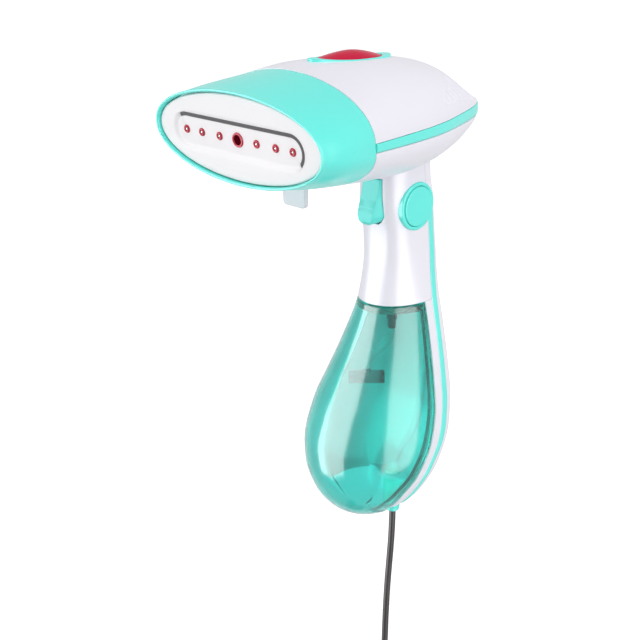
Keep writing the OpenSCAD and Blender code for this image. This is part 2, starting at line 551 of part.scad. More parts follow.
// Tank's outer line: flush in front, stepped in where the rear shell covers it, and hollowed at
// the back to leave a channel for the lead
function tank_cover(z, t) =
    -smooth(cover_side_at, z) - smooth(cover_rear_at, z) * pow(max(0, sin(1.5 * (t - 30))), 2);
function tank_half(z, shift) = let (a = smooth(lip_t_at, z) + shift)
    concat([for (t = steps(-90, a - 1.6, 9)) [t, 0]], [[a - 0.4, tank_cover(z, 0)]],
           [for (t = steps(a + 4, 90, 8)) [t, tank_cover(z, t)]]);
function tank_line(z, shift) = let (h = tank_half(z, shift))
    concat(h, [for (i = [len(h) - 2:-1:1]) [180 - h[i][0], h[i][1]]]);
function tank_ring(z) = [for (q = tank_line(z, 0)) body_point(z, q[0], q[1])];
// Inside of the wall, set back square to the outline
function tank_inside(z) = let (m = (smooth(body_w_at, z + 0.3) - smooth(body_w_at, z - 0.3)) / 0.6,
    k = tank_wall / sqrt(1 + m * m))
    [for (q = tank_line(z, -2.5)) let (p = body_point(z, q[0], q[1] - k)) [p[0], p[1], p[2] + k * m]];
mouth_y = 125;
function mouth_ring(z, r) = [for (q = tank_line(-118, 0)) [r * cos(q[0]), mouth_y + r * sin(q[0]), z]];
tank_stations = [-257.6, -256.6, -254.5, -251, -246, -239, -231, -222, -212, -201, -189, -176, -163,
    -150, -137, -126, -118.4];
module water_tank() color("mediumturquoise", 0.5) in_place() loft(concat(
    [for (z = tank_stations) tank_ring(z)],
    [mouth_ring(tank_top_z - 0.4, 16), mouth_ring(tank_top_z - 0.4, 11.5),
     mouth_ring(-124, 11.5), mouth_ring(-124, 13.4)],
    [for (i = [len(tank_stations) - 2:-1:1]) tank_inside(tank_stations[i])]));
module tank_neck_ring() color("mediumturquoise") in_place() translate([0, mouth_y, -123.5]) difference() {
    cylinder(r = 11.4, h = 5);
    translate([0, 0, -1]) cylinder(r = 5.03, h = 10);
}
module tank_seal() color("dimgray") in_place() translate([0, mouth_y, tank_top_z - 1]) difference() {
    cylinder(r = 9.6, h = 1);
    translate([0, 0, -1]) cylinder(r = 5.4, h = 4);
}
module hose_connector() color("darkslategray") in_place() translate([0, mouth_y, 0]) difference() {
    union() {
        translate([0, 0, -133]) cylinder(r = 3.2, h = 10);
        translate([0, 0, -125]) cylinder(r = 5, h = 6.4);
        translate([0, 0, -139]) cylinder(r = 2.4, h = 7);
    }
    translate([0, 0, -150]) cylinder(r = 1.5, h = 40);
}
module pickup_hose() color("aquamarine") in_place()
    tube([[0, 125, -139.2], [-0.5, 124.7, -144], [-3, 123, -150],
    [-8, 120, -156], [-12, 117.8, -161], [-13.4, 117, -168]], 2.3, 10, 3);
module pickup_weight() color("darkslategray") in_place() translate([-13.4, 117, 0]) rotate(44) {
    translate([-11.4, -3.5, -177.3]) cube([22.8, 7, 6.5]);
    translate([0, 0, -170.8]) cylinder(r = 2.2, h = 2.6);
}

// ---- mains lead ----

// Strain relief, swollen towards the rear under the shell
swell_rows = [[-244.1, 7.1, 1.1], [-246, 7.6, 1.3], [-251, 7.3, 1.1], [-256, 6.3, 0.4], [-259, 5.6, 0]];
module cord_gland() color("turquoise") in_place() translate([0, gland_y, 0]) {
    rotate_extrude() polygon([
        [0, -239.9], [5.4, -239.9], [5.6, -241.5], [gland_neck_r, -241.5], [gland_neck_r, -244.1],
        [6.2, -244.1], [6.4, -250], [5.8, -258], [5.7, -262], [5, -263.5], [4.6, -268],
        [3.7, gland_low_z], [0, gland_low_z]]);
    loft([for (r = swell_rows) [for (t = [0:12:348]) [r[1] * cos(t), r[2] + r[1] * sin(t), r[0]]]]);
}
module power_cord() color("black") in_place() {
    tube(lead_points, lead_r, 10, 2);
    tube(tail_points, lead_r, 10, 1);
}
module cord_coil() color("black") in_place() translate([coil_centre[0], coil_centre[1], floor_z])
    rotate_extrude() polygon([
        [coil_inner_r + 1.5, 0], [coil_outer_r - 1.5, 0], [coil_outer_r, 1.5], [coil_outer_r, coil_h - 1.5],
        [coil_outer_r - 1.5, coil_h], [coil_inner_r + 1.5, coil_h], [coil_inner_r, coil_h - 1.5],
        [coil_inner_r, 1.5]]);
module cord_tie() color("dimgray") in_place()
    translate([coil_centre[0] - coil_mean_r, coil_centre[1], floor_z]) difference() {
    translate([-2 * cord_d - 1, -3, 0]) cube([4 * cord_d + 2, 6, coil_h + 1]);
    translate([-2 * cord_d - 0.05, -8, -1]) cube([4 * cord_d + 0.1, 16, coil_h + 1.05]);
}
// Two-pin plug lying flat, its pins pointing forward
module plug_body() color("black") in_place() {
    translate([plug_x, plug_back_y, plug_z]) rotate([90, 0, 0]) {
        for (x = [-4.5, 4.5]) translate([x, 0, 0]) cylinder(r = 13, h = plug_back_y - plug_face_y);
        translate([-4.5, -13, 0]) cube([9, 26, plug_back_y - plug_face_y]);
    }
    translate([plug_x, 54, plug_z]) rotate([90, 0, 0]) cylinder(r1 = 3.6, r2 = 6.5, h = 54 - plug_back_y);
}
module plug_pins() color("silver") in_place() for (x = [-9.5, 9.5])
    translate([plug_x + x, plug_face_y, plug_z]) rotate([90, 0, 0]) cylinder(r = 2.4, h = 19);

front_collar();
upper_head_shell();
lower_head_shell();
head_trim_band();
steam_plate();
steam_nozzles();
centre_nozzle();
steam_manifold();
steam_tube();
boiler_block();
boiler_cover();
boiler_gasket();
boiler_screws();
heating_element();
thermostat();
thermal_fuse();
indicator_bezel();
indicator_lens();
indicator_board();
attachment_catch();
front_handle_shell();
rear_handle_shell();
gland_plate();
right_trim_strip();
left_trim_strip();
right_trim_ring();
power_button();
power_button_spring();
power_switch();
trigger();
trigger_pin();
trigger_spring();
trigger_switch();
pump_body();
pump_coil();
pump_bracket();
pump_inlet();
water_hose();
terminal_block();
inner_lead();
wiring();
handle_base();
water_tank();
tank_neck_ring();
tank_seal();
hose_connector();
pickup_hose();
pickup_weight();
cord_gland();
power_cord();
cord_coil();
cord_tie();
plug_body();
plug_pins();
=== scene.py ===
"""Looks for the handheld garment steamer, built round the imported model, in metres."""

import json
import math

import bmesh
import bpy
from mathutils import Matrix, Vector


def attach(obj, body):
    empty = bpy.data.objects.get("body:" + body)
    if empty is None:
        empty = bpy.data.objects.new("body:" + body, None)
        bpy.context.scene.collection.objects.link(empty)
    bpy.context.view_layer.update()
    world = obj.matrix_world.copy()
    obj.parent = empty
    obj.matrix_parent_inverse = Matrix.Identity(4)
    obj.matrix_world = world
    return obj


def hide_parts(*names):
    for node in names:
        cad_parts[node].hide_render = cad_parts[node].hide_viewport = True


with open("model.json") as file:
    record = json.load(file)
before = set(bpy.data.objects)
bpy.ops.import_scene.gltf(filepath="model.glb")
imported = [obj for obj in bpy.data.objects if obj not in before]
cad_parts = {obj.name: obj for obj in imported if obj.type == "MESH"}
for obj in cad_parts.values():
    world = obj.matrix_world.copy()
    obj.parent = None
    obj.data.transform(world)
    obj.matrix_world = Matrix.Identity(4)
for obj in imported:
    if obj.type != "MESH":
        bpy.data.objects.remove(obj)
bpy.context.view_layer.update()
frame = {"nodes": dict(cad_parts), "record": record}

MM = 0.001
# The drawing frame's origin is the middle of the steam plate, and the model's is in the grip
GRIP = Vector((0, 129, -90))

# ---- profiles of (position, value), in mm in the drawing frame ----

COLLAR_END = 40.0
TIP = 195.0
WALL = 2.3
SEAM_GAP = 0.15
HEAD_W = [(0, 63), (10, 64), (40, 59), (66, 54.2), (94, 48.6), (118, 42.2), (140, 34.2), (158, 27),
          (174, 19.8), (186, 12.5), (192, 7), (TIP, 0)]
HEAD_TOP = [(0, 25), (12, 26.8), (35, 29.8), (60, 33), (85, 32.8), (110, 30.2), (134, 25.8), (148, 21),
            (162, 13), (176, 4.5), (188, -2), (TIP, -3.4)]
HEAD_BOTTOM = [(0, -25), (10, -27), (40, -31), (70, -34), (100, -36), (125, -35), (150, -31),
               (172, -23), (188, -14.6), (TIP, -13)]
SEAM = [(0, 0), (40, -2.6), (TIP, -8.4)]
BAND_HALF = [(0, 0.6), (40, 2.4), (TIP, 3.6)]
# Lean of the head's sections, in mm forward for each mm up
SLANT = [(0, 0.1), (60, 0.1), (110, 0)]

# Lengthwise ribs behind: the middle one starts furthest back, and those beside it further forward
RIB_PITCH = 2.4
RIB_DEPTH = 1.4
RIB_START, RIB_END = 150.0, 190.0
RIB_SWEEP = 0.021
RIB_FADE = 5.0

# The body's middle, half width and half depth at each height
BODY_Y = [(-258, 103), (-250, 104.5), (-238, 106.5), (-222, 108.7), (-200, 113.2), (-183, 117.2),
          (-165, 122), (-145, 126.6), (-118, 130.6), (-95, 131.2), (-75, 129.5), (-57, 126.8),
          (-42, 125.4), (-30, 125)]
BODY_W = [(-258, 1), (-256.5, 9), (-252, 19), (-246, 27), (-236, 35), (-220, 41.5), (-203, 43.5),
          (-183, 41.2), (-165, 36), (-145, 30), (-118, 22.6), (-95, 18.6), (-75, 17.2), (-57, 17.4),
          (-42, 17), (-30, 17.2)]
BODY_D = [(-258, 1), (-256.5, 10), (-252, 21), (-246, 29.5), (-236, 38), (-220, 44.8), (-203, 47.7),
          (-183, 45.6), (-165, 41), (-145, 35.3), (-118, 28.2), (-95, 24), (-75, 22), (-57, 22.6),
          (-42, 21.2), (-30, 20.8)]
# Exponent of the body's section: 2 is an ellipse, and more is squarer
BODY_N = [(-118, 2), (-95, 2.4), (-75, 2.9), (-50, 2.9), (-30, 2.4)]
# Angles round the body in degrees, with 0 at the side and 90 behind
LIP_T = [(-244, -19), (-232, -13), (-221, -5.5), (-210, -1), (-200, 1.5), (-182, 3.7), (-165, 3.4),
         (-150, 2), (-135, 0.6), (-118, -2)]
STRIP_LOW = [(-244, -8), (-230, 0), (-213, 6.7), (-202, 10.3), (-190, 12.6), (-160, 13.8),
             (-112, 12.4), (-66, 13.5)]
STRIP_HIGH = [(-244, 1), (-230, 8), (-215, 14.5), (-205, 19.6), (-195, 22.8), (-160, 24),
              (-136, 24.2), (-114, 26.5), (-66, 30)]
# How far the tank's wall stands in behind its lip: at the side, and more towards the rear
COVER_SIDE = [(-256.5, 0.6), (-250, 4), (-244, 5.2), (-225, 3.9), (-118, 3.3)]
COVER_REAR = [(-250, 8), (-244, 13), (-236, 14), (-225, 10), (-130, 6), (-118, 5)]

# Places and sizes of single features
HANDLE_TOP_Z = -41.0
NECK_Y, NECK_BORE_R = 130.0, 12.0
TANK_TOP_Z = -117.5
TANK_WALL = 1.8
MOUTH_Y = 125.0
CRADLE_END_Z = -244.0
TRIM_Y, TRIM_Z, TRIM_R, TRIM_FACE_X = 125.5, -57.7, 14.5, 19.0
STRIP_BOTTOM_Z, STRIP_TOP_Z = -242.5, -60.0
BUTTON_R = 12.0
GLAND_Y = 130.0
GLAND_NECK_R = 4.15
CHANNEL_END_X, CHANNEL_HALF_H, CHANNEL_Z = 39.4, 8.6, -0.7
PLATE_A, PLATE_B = 61.0, 22.8
OUTLET_XS = (-40.1, -27.9, -14, 14, 27.9, 40.1)
# Radii of an outlet's flange, its body and its bore
SMALL_OUTLET = (2.25, 1.67, 1.1)
CENTRE_OUTLET = (4, 3.17, 2.7)
PIP_R = 0.42
PLATE_TILT = math.atan(0.1)
LENS_Y = 84.5

CORD_D = 4.4
FLOOR_Z = -432.0
COIL_MEAN_R = 24.5
COIL_CENTRE = (-31.0, 85.0)
PLUG_X, PLUG_Z, PLUG_FACE_Y = -9.0, -419.0, 14.0
LEAD_POINTS = [(0, 130, -270), (-0.1, 130, -285), (-0.7, 129.8, -300), (-1.8, 129.2, -320),
               (-2.5, 128.8, -340), (-2.7, 128.4, -360), (-2.5, 128, -378), (-2.1, 127, -392),
               (-1.5, 124.8, -405), (-0.9, 120.8, -416), (-0.4, 114.4, -424), (-0.1, 106.6, -428.6),
               (0, 99, -429.8), (0, 92, -429.8)]
TAIL_POINTS = [(-9, 76, -420.6), (-9, 68, -420), (-9, 61, -419.1), (-9, 54.2, -419)]


# ---- curves ----

def knot_slope(tab, i):
    def chord(k):
        return (tab[k + 1][1] - tab[k][1]) / (tab[k + 1][0] - tab[k][0])
    if i == 0:
        return chord(0)
    if i == len(tab) - 1:
        return chord(i - 1)
    a, b = chord(i - 1), chord(i)
    return 0 if a * b <= 0 else 2 * a * b / (a + b)


def smooth(tab, t):
    """Smooth curve through a profile's points."""
    if t <= tab[0][0]:
        return tab[0][1]
    if t >= tab[-1][0]:
        return tab[-1][1]
    i = max(k for k in range(len(tab) - 1) if tab[k][0] <= t)
    h = tab[i + 1][0] - tab[i][0]
    u = (t - tab[i][0]) / h
    m0, m1 = knot_slope(tab, i) * h, knot_slope(tab, i + 1) * h
    return ((2 * u**3 - 3 * u**2 + 1) * tab[i][1] + (u**3 - 2 * u**2 + u) * m0
            + (3 * u**2 - 2 * u**3) * tab[i + 1][1] + (u**3 - u**2) * m1)


def steps(a, b, n):
    return [a + (b - a) * i / n for i in range(n + 1)]


def cosd(t):
    return math.cos(math.radians(t))


def sind(t):
    return math.sin(math.radians(t))


def spow(v, p):
    return math.copysign(abs(v) ** p, v)


def ease(x):
    """0 below 0, 1 above 1, smooth between."""
    x = min(1, max(0, x))
    return x * x * (3 - 2 * x)


# ---- outline of the head ----

def head_w(s, off=0.0):
    return max(0.3, smooth(HEAD_W, s) + off)


def seam(s):
    return smooth(SEAM, s)


def band_half(s):
    return smooth(BAND_HALF, s)


def crown(s, off=0.0):
    return max(0.35, smooth(HEAD_TOP, s) + off - seam(s) - band_half(s))


def keel(s, off=0.0):
    return max(0.35, seam(s) - band_half(s) - smooth(HEAD_BOTTOM, s) + off)


def head_y(s, z):
    return s - smooth(SLANT, s) * (z - seam(s))


def head_point(s, t, off=0.0, lift=0.0, upper=None):
    up = t <= 180 if upper is None else upper
    if up:
        z = seam(s) + band_half(s) + lift + crown(s, off) * sind(t)
    else:
        z = seam(s) - band_half(s) - lift + keel(s, off) * sind(t)
    return Vector((head_w(s, off) * cosd(t), head_y(s, z), z))


def head_arc(s, t0, t1, m, off=0.0, lift=0.0):
    upper = t0 + t1 < 360
    return [head_point(s, t, off, lift, upper) for t in steps(t0, t1, m)]


def head_ring(s, off, m=72):
    return head_arc(s, 0, 180, m, off) + head_arc(s, 180, 360, m, off)


def inner_s(s):
    """Station of a shell's inside, which ends a wall's thickness before the tip."""
    return COLLAR_END + (s - COLLAR_END) * (TIP - WALL - COLLAR_END) / (TIP - COLLAR_END)


def crown_z(x, y):
    """Height of the head's top over a point."""
    s = y + smooth(SLANT, y) * (30 - seam(y))
    return seam(s) + band_half(s) + crown(s) * math.sqrt(max(0, 1 - (x / head_w(s)) ** 2))


def head_floor(x, y):
    """Height of the head's underside over a point."""
    return seam(y) - band_half(y) - keel(y) * math.sqrt(max(0, 1 - (x / head_w(y)) ** 2))


# ---- outline of the handle and the tank ----

def body_point(z, t, off=0.0):
    p = 2 / smooth(BODY_N, z)
    return Vector((max(0.3, smooth(BODY_W, z) + off) * spow(cosd(t), p),
                   smooth(BODY_Y, z) + max(0.3, smooth(BODY_D, z) + off) * spow(sind(t), p), z))


def lip(z):
    """Angle at which the rear shell starts, behind the tank or the front shell."""
    return smooth(LIP_T, z) if z < TANK_TOP_Z else smooth(STRIP_LOW, z)


def tank_cover(z, t):
    hollow = max(0, sind(1.5 * (t - 30))) ** 2
    return -smooth(COVER_SIDE, z) - smooth(COVER_REAR, z) * hollow


# ---- meshes ----

def mesh_object(name, points, faces):
    """Makes a closed mesh of drawing-frame points in mm, with its faces turned outward."""
    mesh = bpy.data.meshes.new(name)
    mesh.from_pydata([(Vector(p) - GRIP) * MM for p in points], [], faces)
    bm = bmesh.new()
    bm.from_mesh(mesh)
    bmesh.ops.recalc_face_normals(bm, faces=bm.faces)
    bm.to_mesh(mesh)
    bm.free()
    obj = bpy.data.objects.new(name, mesh)
    bpy.context.collection.objects.link(obj)
    return obj


def loft_faces(rows, m, closed_rows):
    faces = []
    for k in range(rows if closed_rows else rows - 1):
        n = (k + 1) % rows
        for i in range(m):
            j = (i + 1) % m
            faces.append((k * m + i, k * m + j, n * m + j, n * m + i))
    return faces


def ring_piece(name, sections):
    """Closed ring whose last section joins the first again."""
    points = [p for s in sections for p in s]
    return mesh_object(name, points, loft_faces(len(sections), len(sections[0]), True))


def wall_piece(name, sections):
    """Wall with a C-shaped section: outer points, then as many inner points in reverse."""
    m, rows = len(sections[0]), len(sections)
    points = [p for s in sections for p in s]
    faces = loft_faces(rows, m, False)
    for start in (0, (rows - 1) * m):
        for i in range(m // 2 - 1):
            faces.append((start + i, start + i + 1, start + m - 2 - i, start + m - 1 - i))
    return mesh_object(name, points, faces)


def lofted_piece(name, sections):
    """Solid through a stack of closed sections, with flat ends."""
    m, rows = len(sections[0]), len(sections)
    points = [p for s in sections for p in s]
    faces = loft_faces(rows, m, False) + [tuple(range(m)), tuple(range((rows - 1) * m, rows * m))]
    return mesh_object(name, points, faces)


def circle(r, z, n, y=0.0):
    """Points of a level circle round the Z axis, or round an upright axis at the given y."""
    return [Vector((r * cosd(360 * i / n), y + r * sind(360 * i / n), z)) for i in range(n)]


def turned_piece(name, profile, matrix, n):
    """Solid of revolution about Z from (radius, height) points, moved by the matrix."""
    return lofted_piece(name, [[matrix @ p for p in circle(max(r, 0.01), h, n)] for r, h in profile])


def turned_ring(name, profile, matrix, n):
    """Ring of revolution about Z from a closed (radius, height) profile, moved by the matrix."""
    return ring_piece(name, [[matrix @ p for p in circle(r, h, n)] for r, h in profile])


def side_axis(y, z):
    """Turns a piece made about Z to lie along X at the given place."""
    return Matrix.Translation((0, y, z)) @ Matrix.Rotation(math.radians(90), 4, "Y")


def bevelled(obj, width, segments=3, angle=40):
    """Rounds the edges sharper than the angle."""
    mod = obj.modifiers.new("edge_round", "BEVEL")
    mod.width = width * MM
    mod.segments = segments
    mod.limit_method = "ANGLE"
    mod.angle_limit = math.radians(angle)
    return obj


def applied(obj):
    """Turns the object's modifiers into plain mesh."""
    bpy.context.view_layer.update()
    graph = bpy.context.evaluated_depsgraph_get()
    mesh = bpy.data.meshes.new_from_object(obj.evaluated_get(graph))
    obj.modifiers.clear()
    obj.data = mesh
    return obj


def combined(obj, other, operation):
    mod = obj.modifiers.new("combined", "BOOLEAN")
    mod.object = other
    mod.operation = operation
    mod.solver = "EXACT"
    applied(obj)
    bpy.data.objects.remove(other)
    return obj


def cut(obj, cutter):
    """Cuts one piece out of another and removes the cutter."""
    return combined(obj, cutter, "DIFFERENCE")


def joined(obj, other):
    """Unites two overlapping pieces and removes the second."""
    return combined(obj, other, "UNION")


def shaded(obj, angle=38):
    for poly in obj.data.polygons:
        poly.use_smooth = True
    obj.data.set_sharp_from_angle(angle=math.radians(angle))
    return obj


def finished(obj, mat, body, slot, *nodes):
    """Gives a piece its material and its body, and hides the CAD nodes it stands for; the record slot is
    not used.
    """
    shaded(obj)
    obj.data.materials.clear()
    obj.data.materials.append(mat)
    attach(obj, body)
    if nodes:
        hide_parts(*nodes)
    return obj


# ---- materials ----

def new_material(name):
    mat = bpy.data.materials.new(name)
    mat.use_nodes = True
    nodes = mat.node_tree.nodes
    return mat, mat.node_tree, nodes["Principled BSDF"]


def noise(tree, scale, detail, stretch=(1, 1, 1)):
    coord = tree.nodes.new("ShaderNodeTexCoord")
    mapping = tree.nodes.new("ShaderNodeMapping")
    mapping.inputs["Scale"].default_value = stretch
    tex = tree.nodes.new("ShaderNodeTexNoise")
    tex.inputs["Scale"].default_value = scale
    tex.inputs["Detail"].default_value = detail
    tree.links.new(coord.outputs["Object"], mapping.inputs["Vector"])
    tree.links.new(mapping.outputs["Vector"], tex.inputs["Vector"])
    return tex.outputs["Fac"]


def ramped(tree, value, low, high, start=0.3, end=0.7):
    """Maps a texture value to a colour between two."""
    ramp = tree.nodes.new("ShaderNodeValToRGB")
    ramp.color_ramp.elements[0].position = start
    ramp.color_ramp.elements[1].position = end
    ramp.color_ramp.elements[0].color = (*low, 1)
    ramp.color_ramp.elements[1].color = (*high, 1)
    tree.links.new(value, ramp.inputs["Fac"])
    return ramp.outputs["Color"]


def ranged(tree, value, low, high):
    node = tree.nodes.new("ShaderNodeMapRange")
    node.inputs["To Min"].default_value = low
    node.inputs["To Max"].default_value = high
    tree.links.new(value, node.inputs["Value"])
    return node.outputs["Result"]


def bumped(tree, bsdf, value, strength, distance):
    bump = tree.nodes.new("ShaderNodeBump")
    bump.inputs["Strength"].default_value = strength
    bump.inputs["Distance"].default_value = distance
    tree.links.new(value, bump.inputs["Height"])
    tree.links.new(bump.outputs["Normal"], bsdf.inputs["Normal"])


def tinted(colour, amount):
    return tuple(min(1, c * (1 + amount)) for c in colour)


def plastic(name, colour, roughness=0.2, variation=0.03, grain=1400, bump=0.06, specular=0.5):
    """Moulded plastic: faint cloudiness in colour and gloss, and a fine skin."""
    mat, tree, bsdf = new_material(name)
    cloud = noise(tree, 18, 2)
    skin = noise(tree, grain, 2)
    tree.links.new(ramped(tree, cloud, tinted(colour, -variation), tinted(colour, variation)),
                   bsdf.inputs["Base Color"])
    tree.links.new(ranged(tree, cloud, roughness * 0.85, roughness * 1.15), bsdf.inputs["Roughness"])
    bumped(tree, bsdf, skin, bump, 0.00005)
    bsdf.inputs["Specular IOR Level"].default_value = specular
    return mat


def metal(name, colour, roughness=0.3, stretch=(1, 1, 30), scale=60, bump=0.05):
    """Metal with a fine lengthwise grain."""
    mat, tree, bsdf = new_material(name)
    grain = noise(tree, scale, 4, stretch)
    tree.links.new(ramped(tree, grain, tinted(colour, -0.06), tinted(colour, 0.05)),
                   bsdf.inputs["Base Color"])
    tree.links.new(ranged(tree, grain, roughness * 0.8, roughness * 1.2), bsdf.inputs["Roughness"])
    bsdf.inputs["Metallic"].default_value = 1.0
    bumped(tree, bsdf, grain, bump, 0.00005)
    return mat


def absorbing(mat, colour, density):
    """Makes thick walls darker than thin ones."""
    tree = mat.node_tree
    volume = tree.nodes.new("ShaderNodeVolumeAbsorption")
    volume.inputs["Color"].default_value = (*colour, 1)
    volume.inputs["Density"].default_value = density
    tree.links.new(volume.outputs["Volume"], tree.nodes["Material Output"].inputs["Volume"])
    return mat


def clear_plastic(name, colour, transmission, roughness, ior, coat=0.0):
    """Tinted see-through plastic."""
    mat, tree, bsdf = new_material(name)
    cloud = noise(tree, 14, 2)
    tree.links.new(ramped(tree, cloud, tinted(colour, -0.03), tinted(colour, 0.03)),
                   bsdf.inputs["Base Color"])
    tree.links.new(ranged(tree, cloud, roughness * 0.8, roughness * 1.2), bsdf.inputs["Roughness"])
    bsdf.inputs["Transmission Weight"].default_value = transmission
    bsdf.inputs["IOR"].default_value = ior
    bsdf.inputs["Coat Weight"].default_value = coat
    bsdf.inputs["Coat Roughness"].default_value = 0.2
    return mat


TEAL = plastic("teal_plastic", (0.125, 0.80, 0.71), 0.24, 0.02)
WHITE = plastic("white_plastic", (0.77, 0.76, 0.82), 0.3, 0.012)
PLATE = plastic("coated_plate", (0.83, 0.82, 0.83), 0.3, 0.02, 900, 0.05, specular=0.1)
TEAL_MATT = plastic("teal_matt_plastic", (0.12, 0.74, 0.66), 0.45, 0.02, specular=0.2)
# White plastic made rougher and darker for the catch tab: the rougher finish is real, the darker colour
# is painted shade
WHITE_MATT_SHADED = plastic("white_matt_plastic_shaded", (0.70, 0.695, 0.74), 0.45, 0.02, specular=0.2)
RED = plastic("red_moulding", (0.42, 0.012, 0.035), 0.3, 0.1, specular=0.25)
# Dark red and deeper red for the inserts in the outlets' bores: the moulding's red, darkened as painted
# shade of the open bores
RED_BORE_SHADE = plastic("red_moulding_bore_shade", (0.10, 0.004, 0.012), 0.4, 0.1)
RED_DEEP_BORE_SHADE = plastic("red_moulding_deep_bore_shade", (0.07, 0.002, 0.006), 0.7, 0.1, specular=0.0)
# Near-black grey for the strip in the steam channel's groove: painted shade, where the channel has only
# shadow
GROOVE_SHADE_STRIP = plastic("groove_painted_shade", (0.085, 0.08, 0.085), 0.6, 0.08, 1200, 0.2, specular=0.1)
LENS = plastic("red_lens", (0.56, 0.006, 0.045), 0.2, 0.06, 400, 0.02, specular=0.05)
BLACK = plastic("black_plastic", (0.018, 0.018, 0.02), 0.42, 0.2, 1800, 0.25)
CORD = plastic("cord_sheath", (0.022, 0.019, 0.018), 0.34, 0.2, 1500, 0.2)
SILICONE = plastic("silicone", (0.16, 0.165, 0.175), 0.55, 0.08, 1200, 0.2)
DARK_TEAL = plastic("dark_teal_plastic", (0.003, 0.02, 0.019), 0.5, 0.1, specular=0.2)
RING_TEAL = plastic("tank_ring_plastic", (0.03, 0.40, 0.35), 0.25, 0.05)
BOARD = plastic("circuit_board", (0.02, 0.16, 0.05), 0.4, 0.15, 600, 0.2)
WIRE = plastic("wire_insulation", (0.42, 0.02, 0.02), 0.35, 0.08)
STEEL = metal("steel", (0.62, 0.62, 0.64), 0.28)
CAST = metal("cast_aluminium", (0.66, 0.66, 0.68), 0.45, (1, 1, 1), 500, 0.4)
COPPER = metal("copper_winding", (0.72, 0.34, 0.16), 0.35, (1, 1, 60), 40, 0.5)
PIN = metal("plated_pin", (0.74, 0.70, 0.62), 0.22)
TANK = absorbing(clear_plastic("tank_plastic", (0.42, 0.96, 0.92), 0.98, 0.06, 1.22, coat=1.0),
                 (0.1, 0.955, 0.93), 400)
HOSE = clear_plastic("clear_hose", (0.8, 0.92, 0.9), 0.95, 0.1, 1.08)

SLOT_MATERIALS = {
    "teal_plastic": TEAL, "white_plastic": WHITE, "plate_metal": PLATE, "red_plastic": RED,
    "red_lens": LENS, "cast_aluminium": CAST, "steel": STEEL, "silicone": SILICONE,
    "black_plastic": BLACK, "circuit_board": BOARD, "copper_winding": COPPER, "clear_hose": HOSE,
    "wire_insulation": WIRE, "tank_plastic": TANK, "tank_ring_plastic": RING_TEAL,
    "dark_teal_plastic": DARK_TEAL, "cord_rubber": CORD, "brass_pin": PIN}


def dress_cad_nodes():
    """Gives every carried-over CAD node the material of its record slot."""
    for part in frame["record"]["subparts"]:
        obj = frame["nodes"][part["node"]]
        obj.data.materials.clear()
        obj.data.materials.append(SLOT_MATERIALS[part["material_slot"]])


# ---- head ----

def head_stations(n):
    """Stations along the shells, closer together towards the tip."""
    start, end = COLLAR_END + 0.2, TIP - 0.45
    return [start + (end - start) * (1 - (1 - u) ** 1.5) for u in steps(0, 1, n)]


def rib_groove(s, x):
    """Depth of the fine lengthwise grooves on the rear slope of the upper shell."""
    start = RIB_START - RIB_SWEEP * x * x
    side_fade = ease((0.97 * head_w(s) - abs(x)) / 0.6)
    fade = ease((s - start) / RIB_FADE) * ease((RIB_END - s) / RIB_FADE) * side_fade
    return RIB_DEPTH * fade * (0.5 + 0.5 * cosd(360 * x / RIB_PITCH))


def upper_turns():
    """Angles across the upper shell, closer together over the grooves."""
    low, high = 14, 166
    return steps(0, low, 20) + steps(low, high, 320)[1:-1] + steps(high, 180, 20)


def upper_section(s):
    outer = []
    for t in upper_turns():
        groove = rib_groove(s, head_point(s, t, 0, SEAM_GAP, True).x)
        outer.append(head_point(s, t, -groove, SEAM_GAP, True))
    inner = [head_point(inner_s(s), t, -WALL, SEAM_GAP, True) for t in upper_turns()]
    return outer + inner[::-1]


def make_front_collar():
    rim = [(6, -4.6), (2.8, -4.6), (2.6, -1.75), (-2.0, -1.75), (-2.6, -1.55), (-3.0, -1.25),
           (-3.2, -0.85), (-3.15, -0.45), (-2.9, -0.15), (-2.3, 0.02)]
    outside = [(s, 0.0) for s in steps(-1.2, COLLAR_END - 0.3, 26)]
    outside += [(COLLAR_END - 0.05, -0.1), (COLLAR_END, -0.35)]
    inside = [(COLLAR_END, -WALL), (28, -WALL), (16, -WALL)]
    return ring_piece("collar", [head_ring(s, off) for s, off in rim + outside + inside])


def make_upper_shell():
    obj = wall_piece("upper_shell", [upper_section(s) for s in head_stations(110)])
    bevelled(obj, 0.35, 3, 80)
    hole = lofted_piece("lens_hole", [[Vector((x, LENS_Y + y, z)) for x, y in lens_outline(9.2, 18.2)]
                                      for z in (20, 50)])
    return cut(obj, hole)


def make_lower_shell():
    rows = head_stations(60)
    obj = wall_piece("lower_shell", [
        head_arc(s, 180, 360, 96, 0, SEAM_GAP)
        + head_arc(inner_s(s), 180, 360, 96, -WALL, SEAM_GAP)[::-1] for s in rows])
    bevelled(obj, 0.35)
    hole = turned_piece("neck_hole", [(NECK_BORE_R, -50), (NECK_BORE_R, -10)],
                        Matrix.Translation((0, NECK_Y, 0)), 48)
    return cut(obj, hole)


def band_section(s, flip):
    if s >= TIP:
        out = Vector((0, 1, 0))
        at = Vector((0, TIP, 0))
    else:
        slope = (head_w(min(s + 0.4, TIP)) - head_w(s - 0.4)) / 0.8
        out = Vector((1, -slope, 0)).normalized()
        at = Vector((head_w(s), s, 0))
    h, z = band_half(s) - SEAM_GAP, seam(s)
    outline = [(0.1, -1), (0.42, -0.86), (0.6, -0.5), (0.66, 0), (0.6, 0.5), (0.42, 0.86), (0.1, 1),
               (-WALL, 1), (-WALL, -1)]
    points = []
    for step, rise in outline:
        p = at + out * step
        points.append(Vector((flip * p.x, p.y, z + rise * h)))
    return points


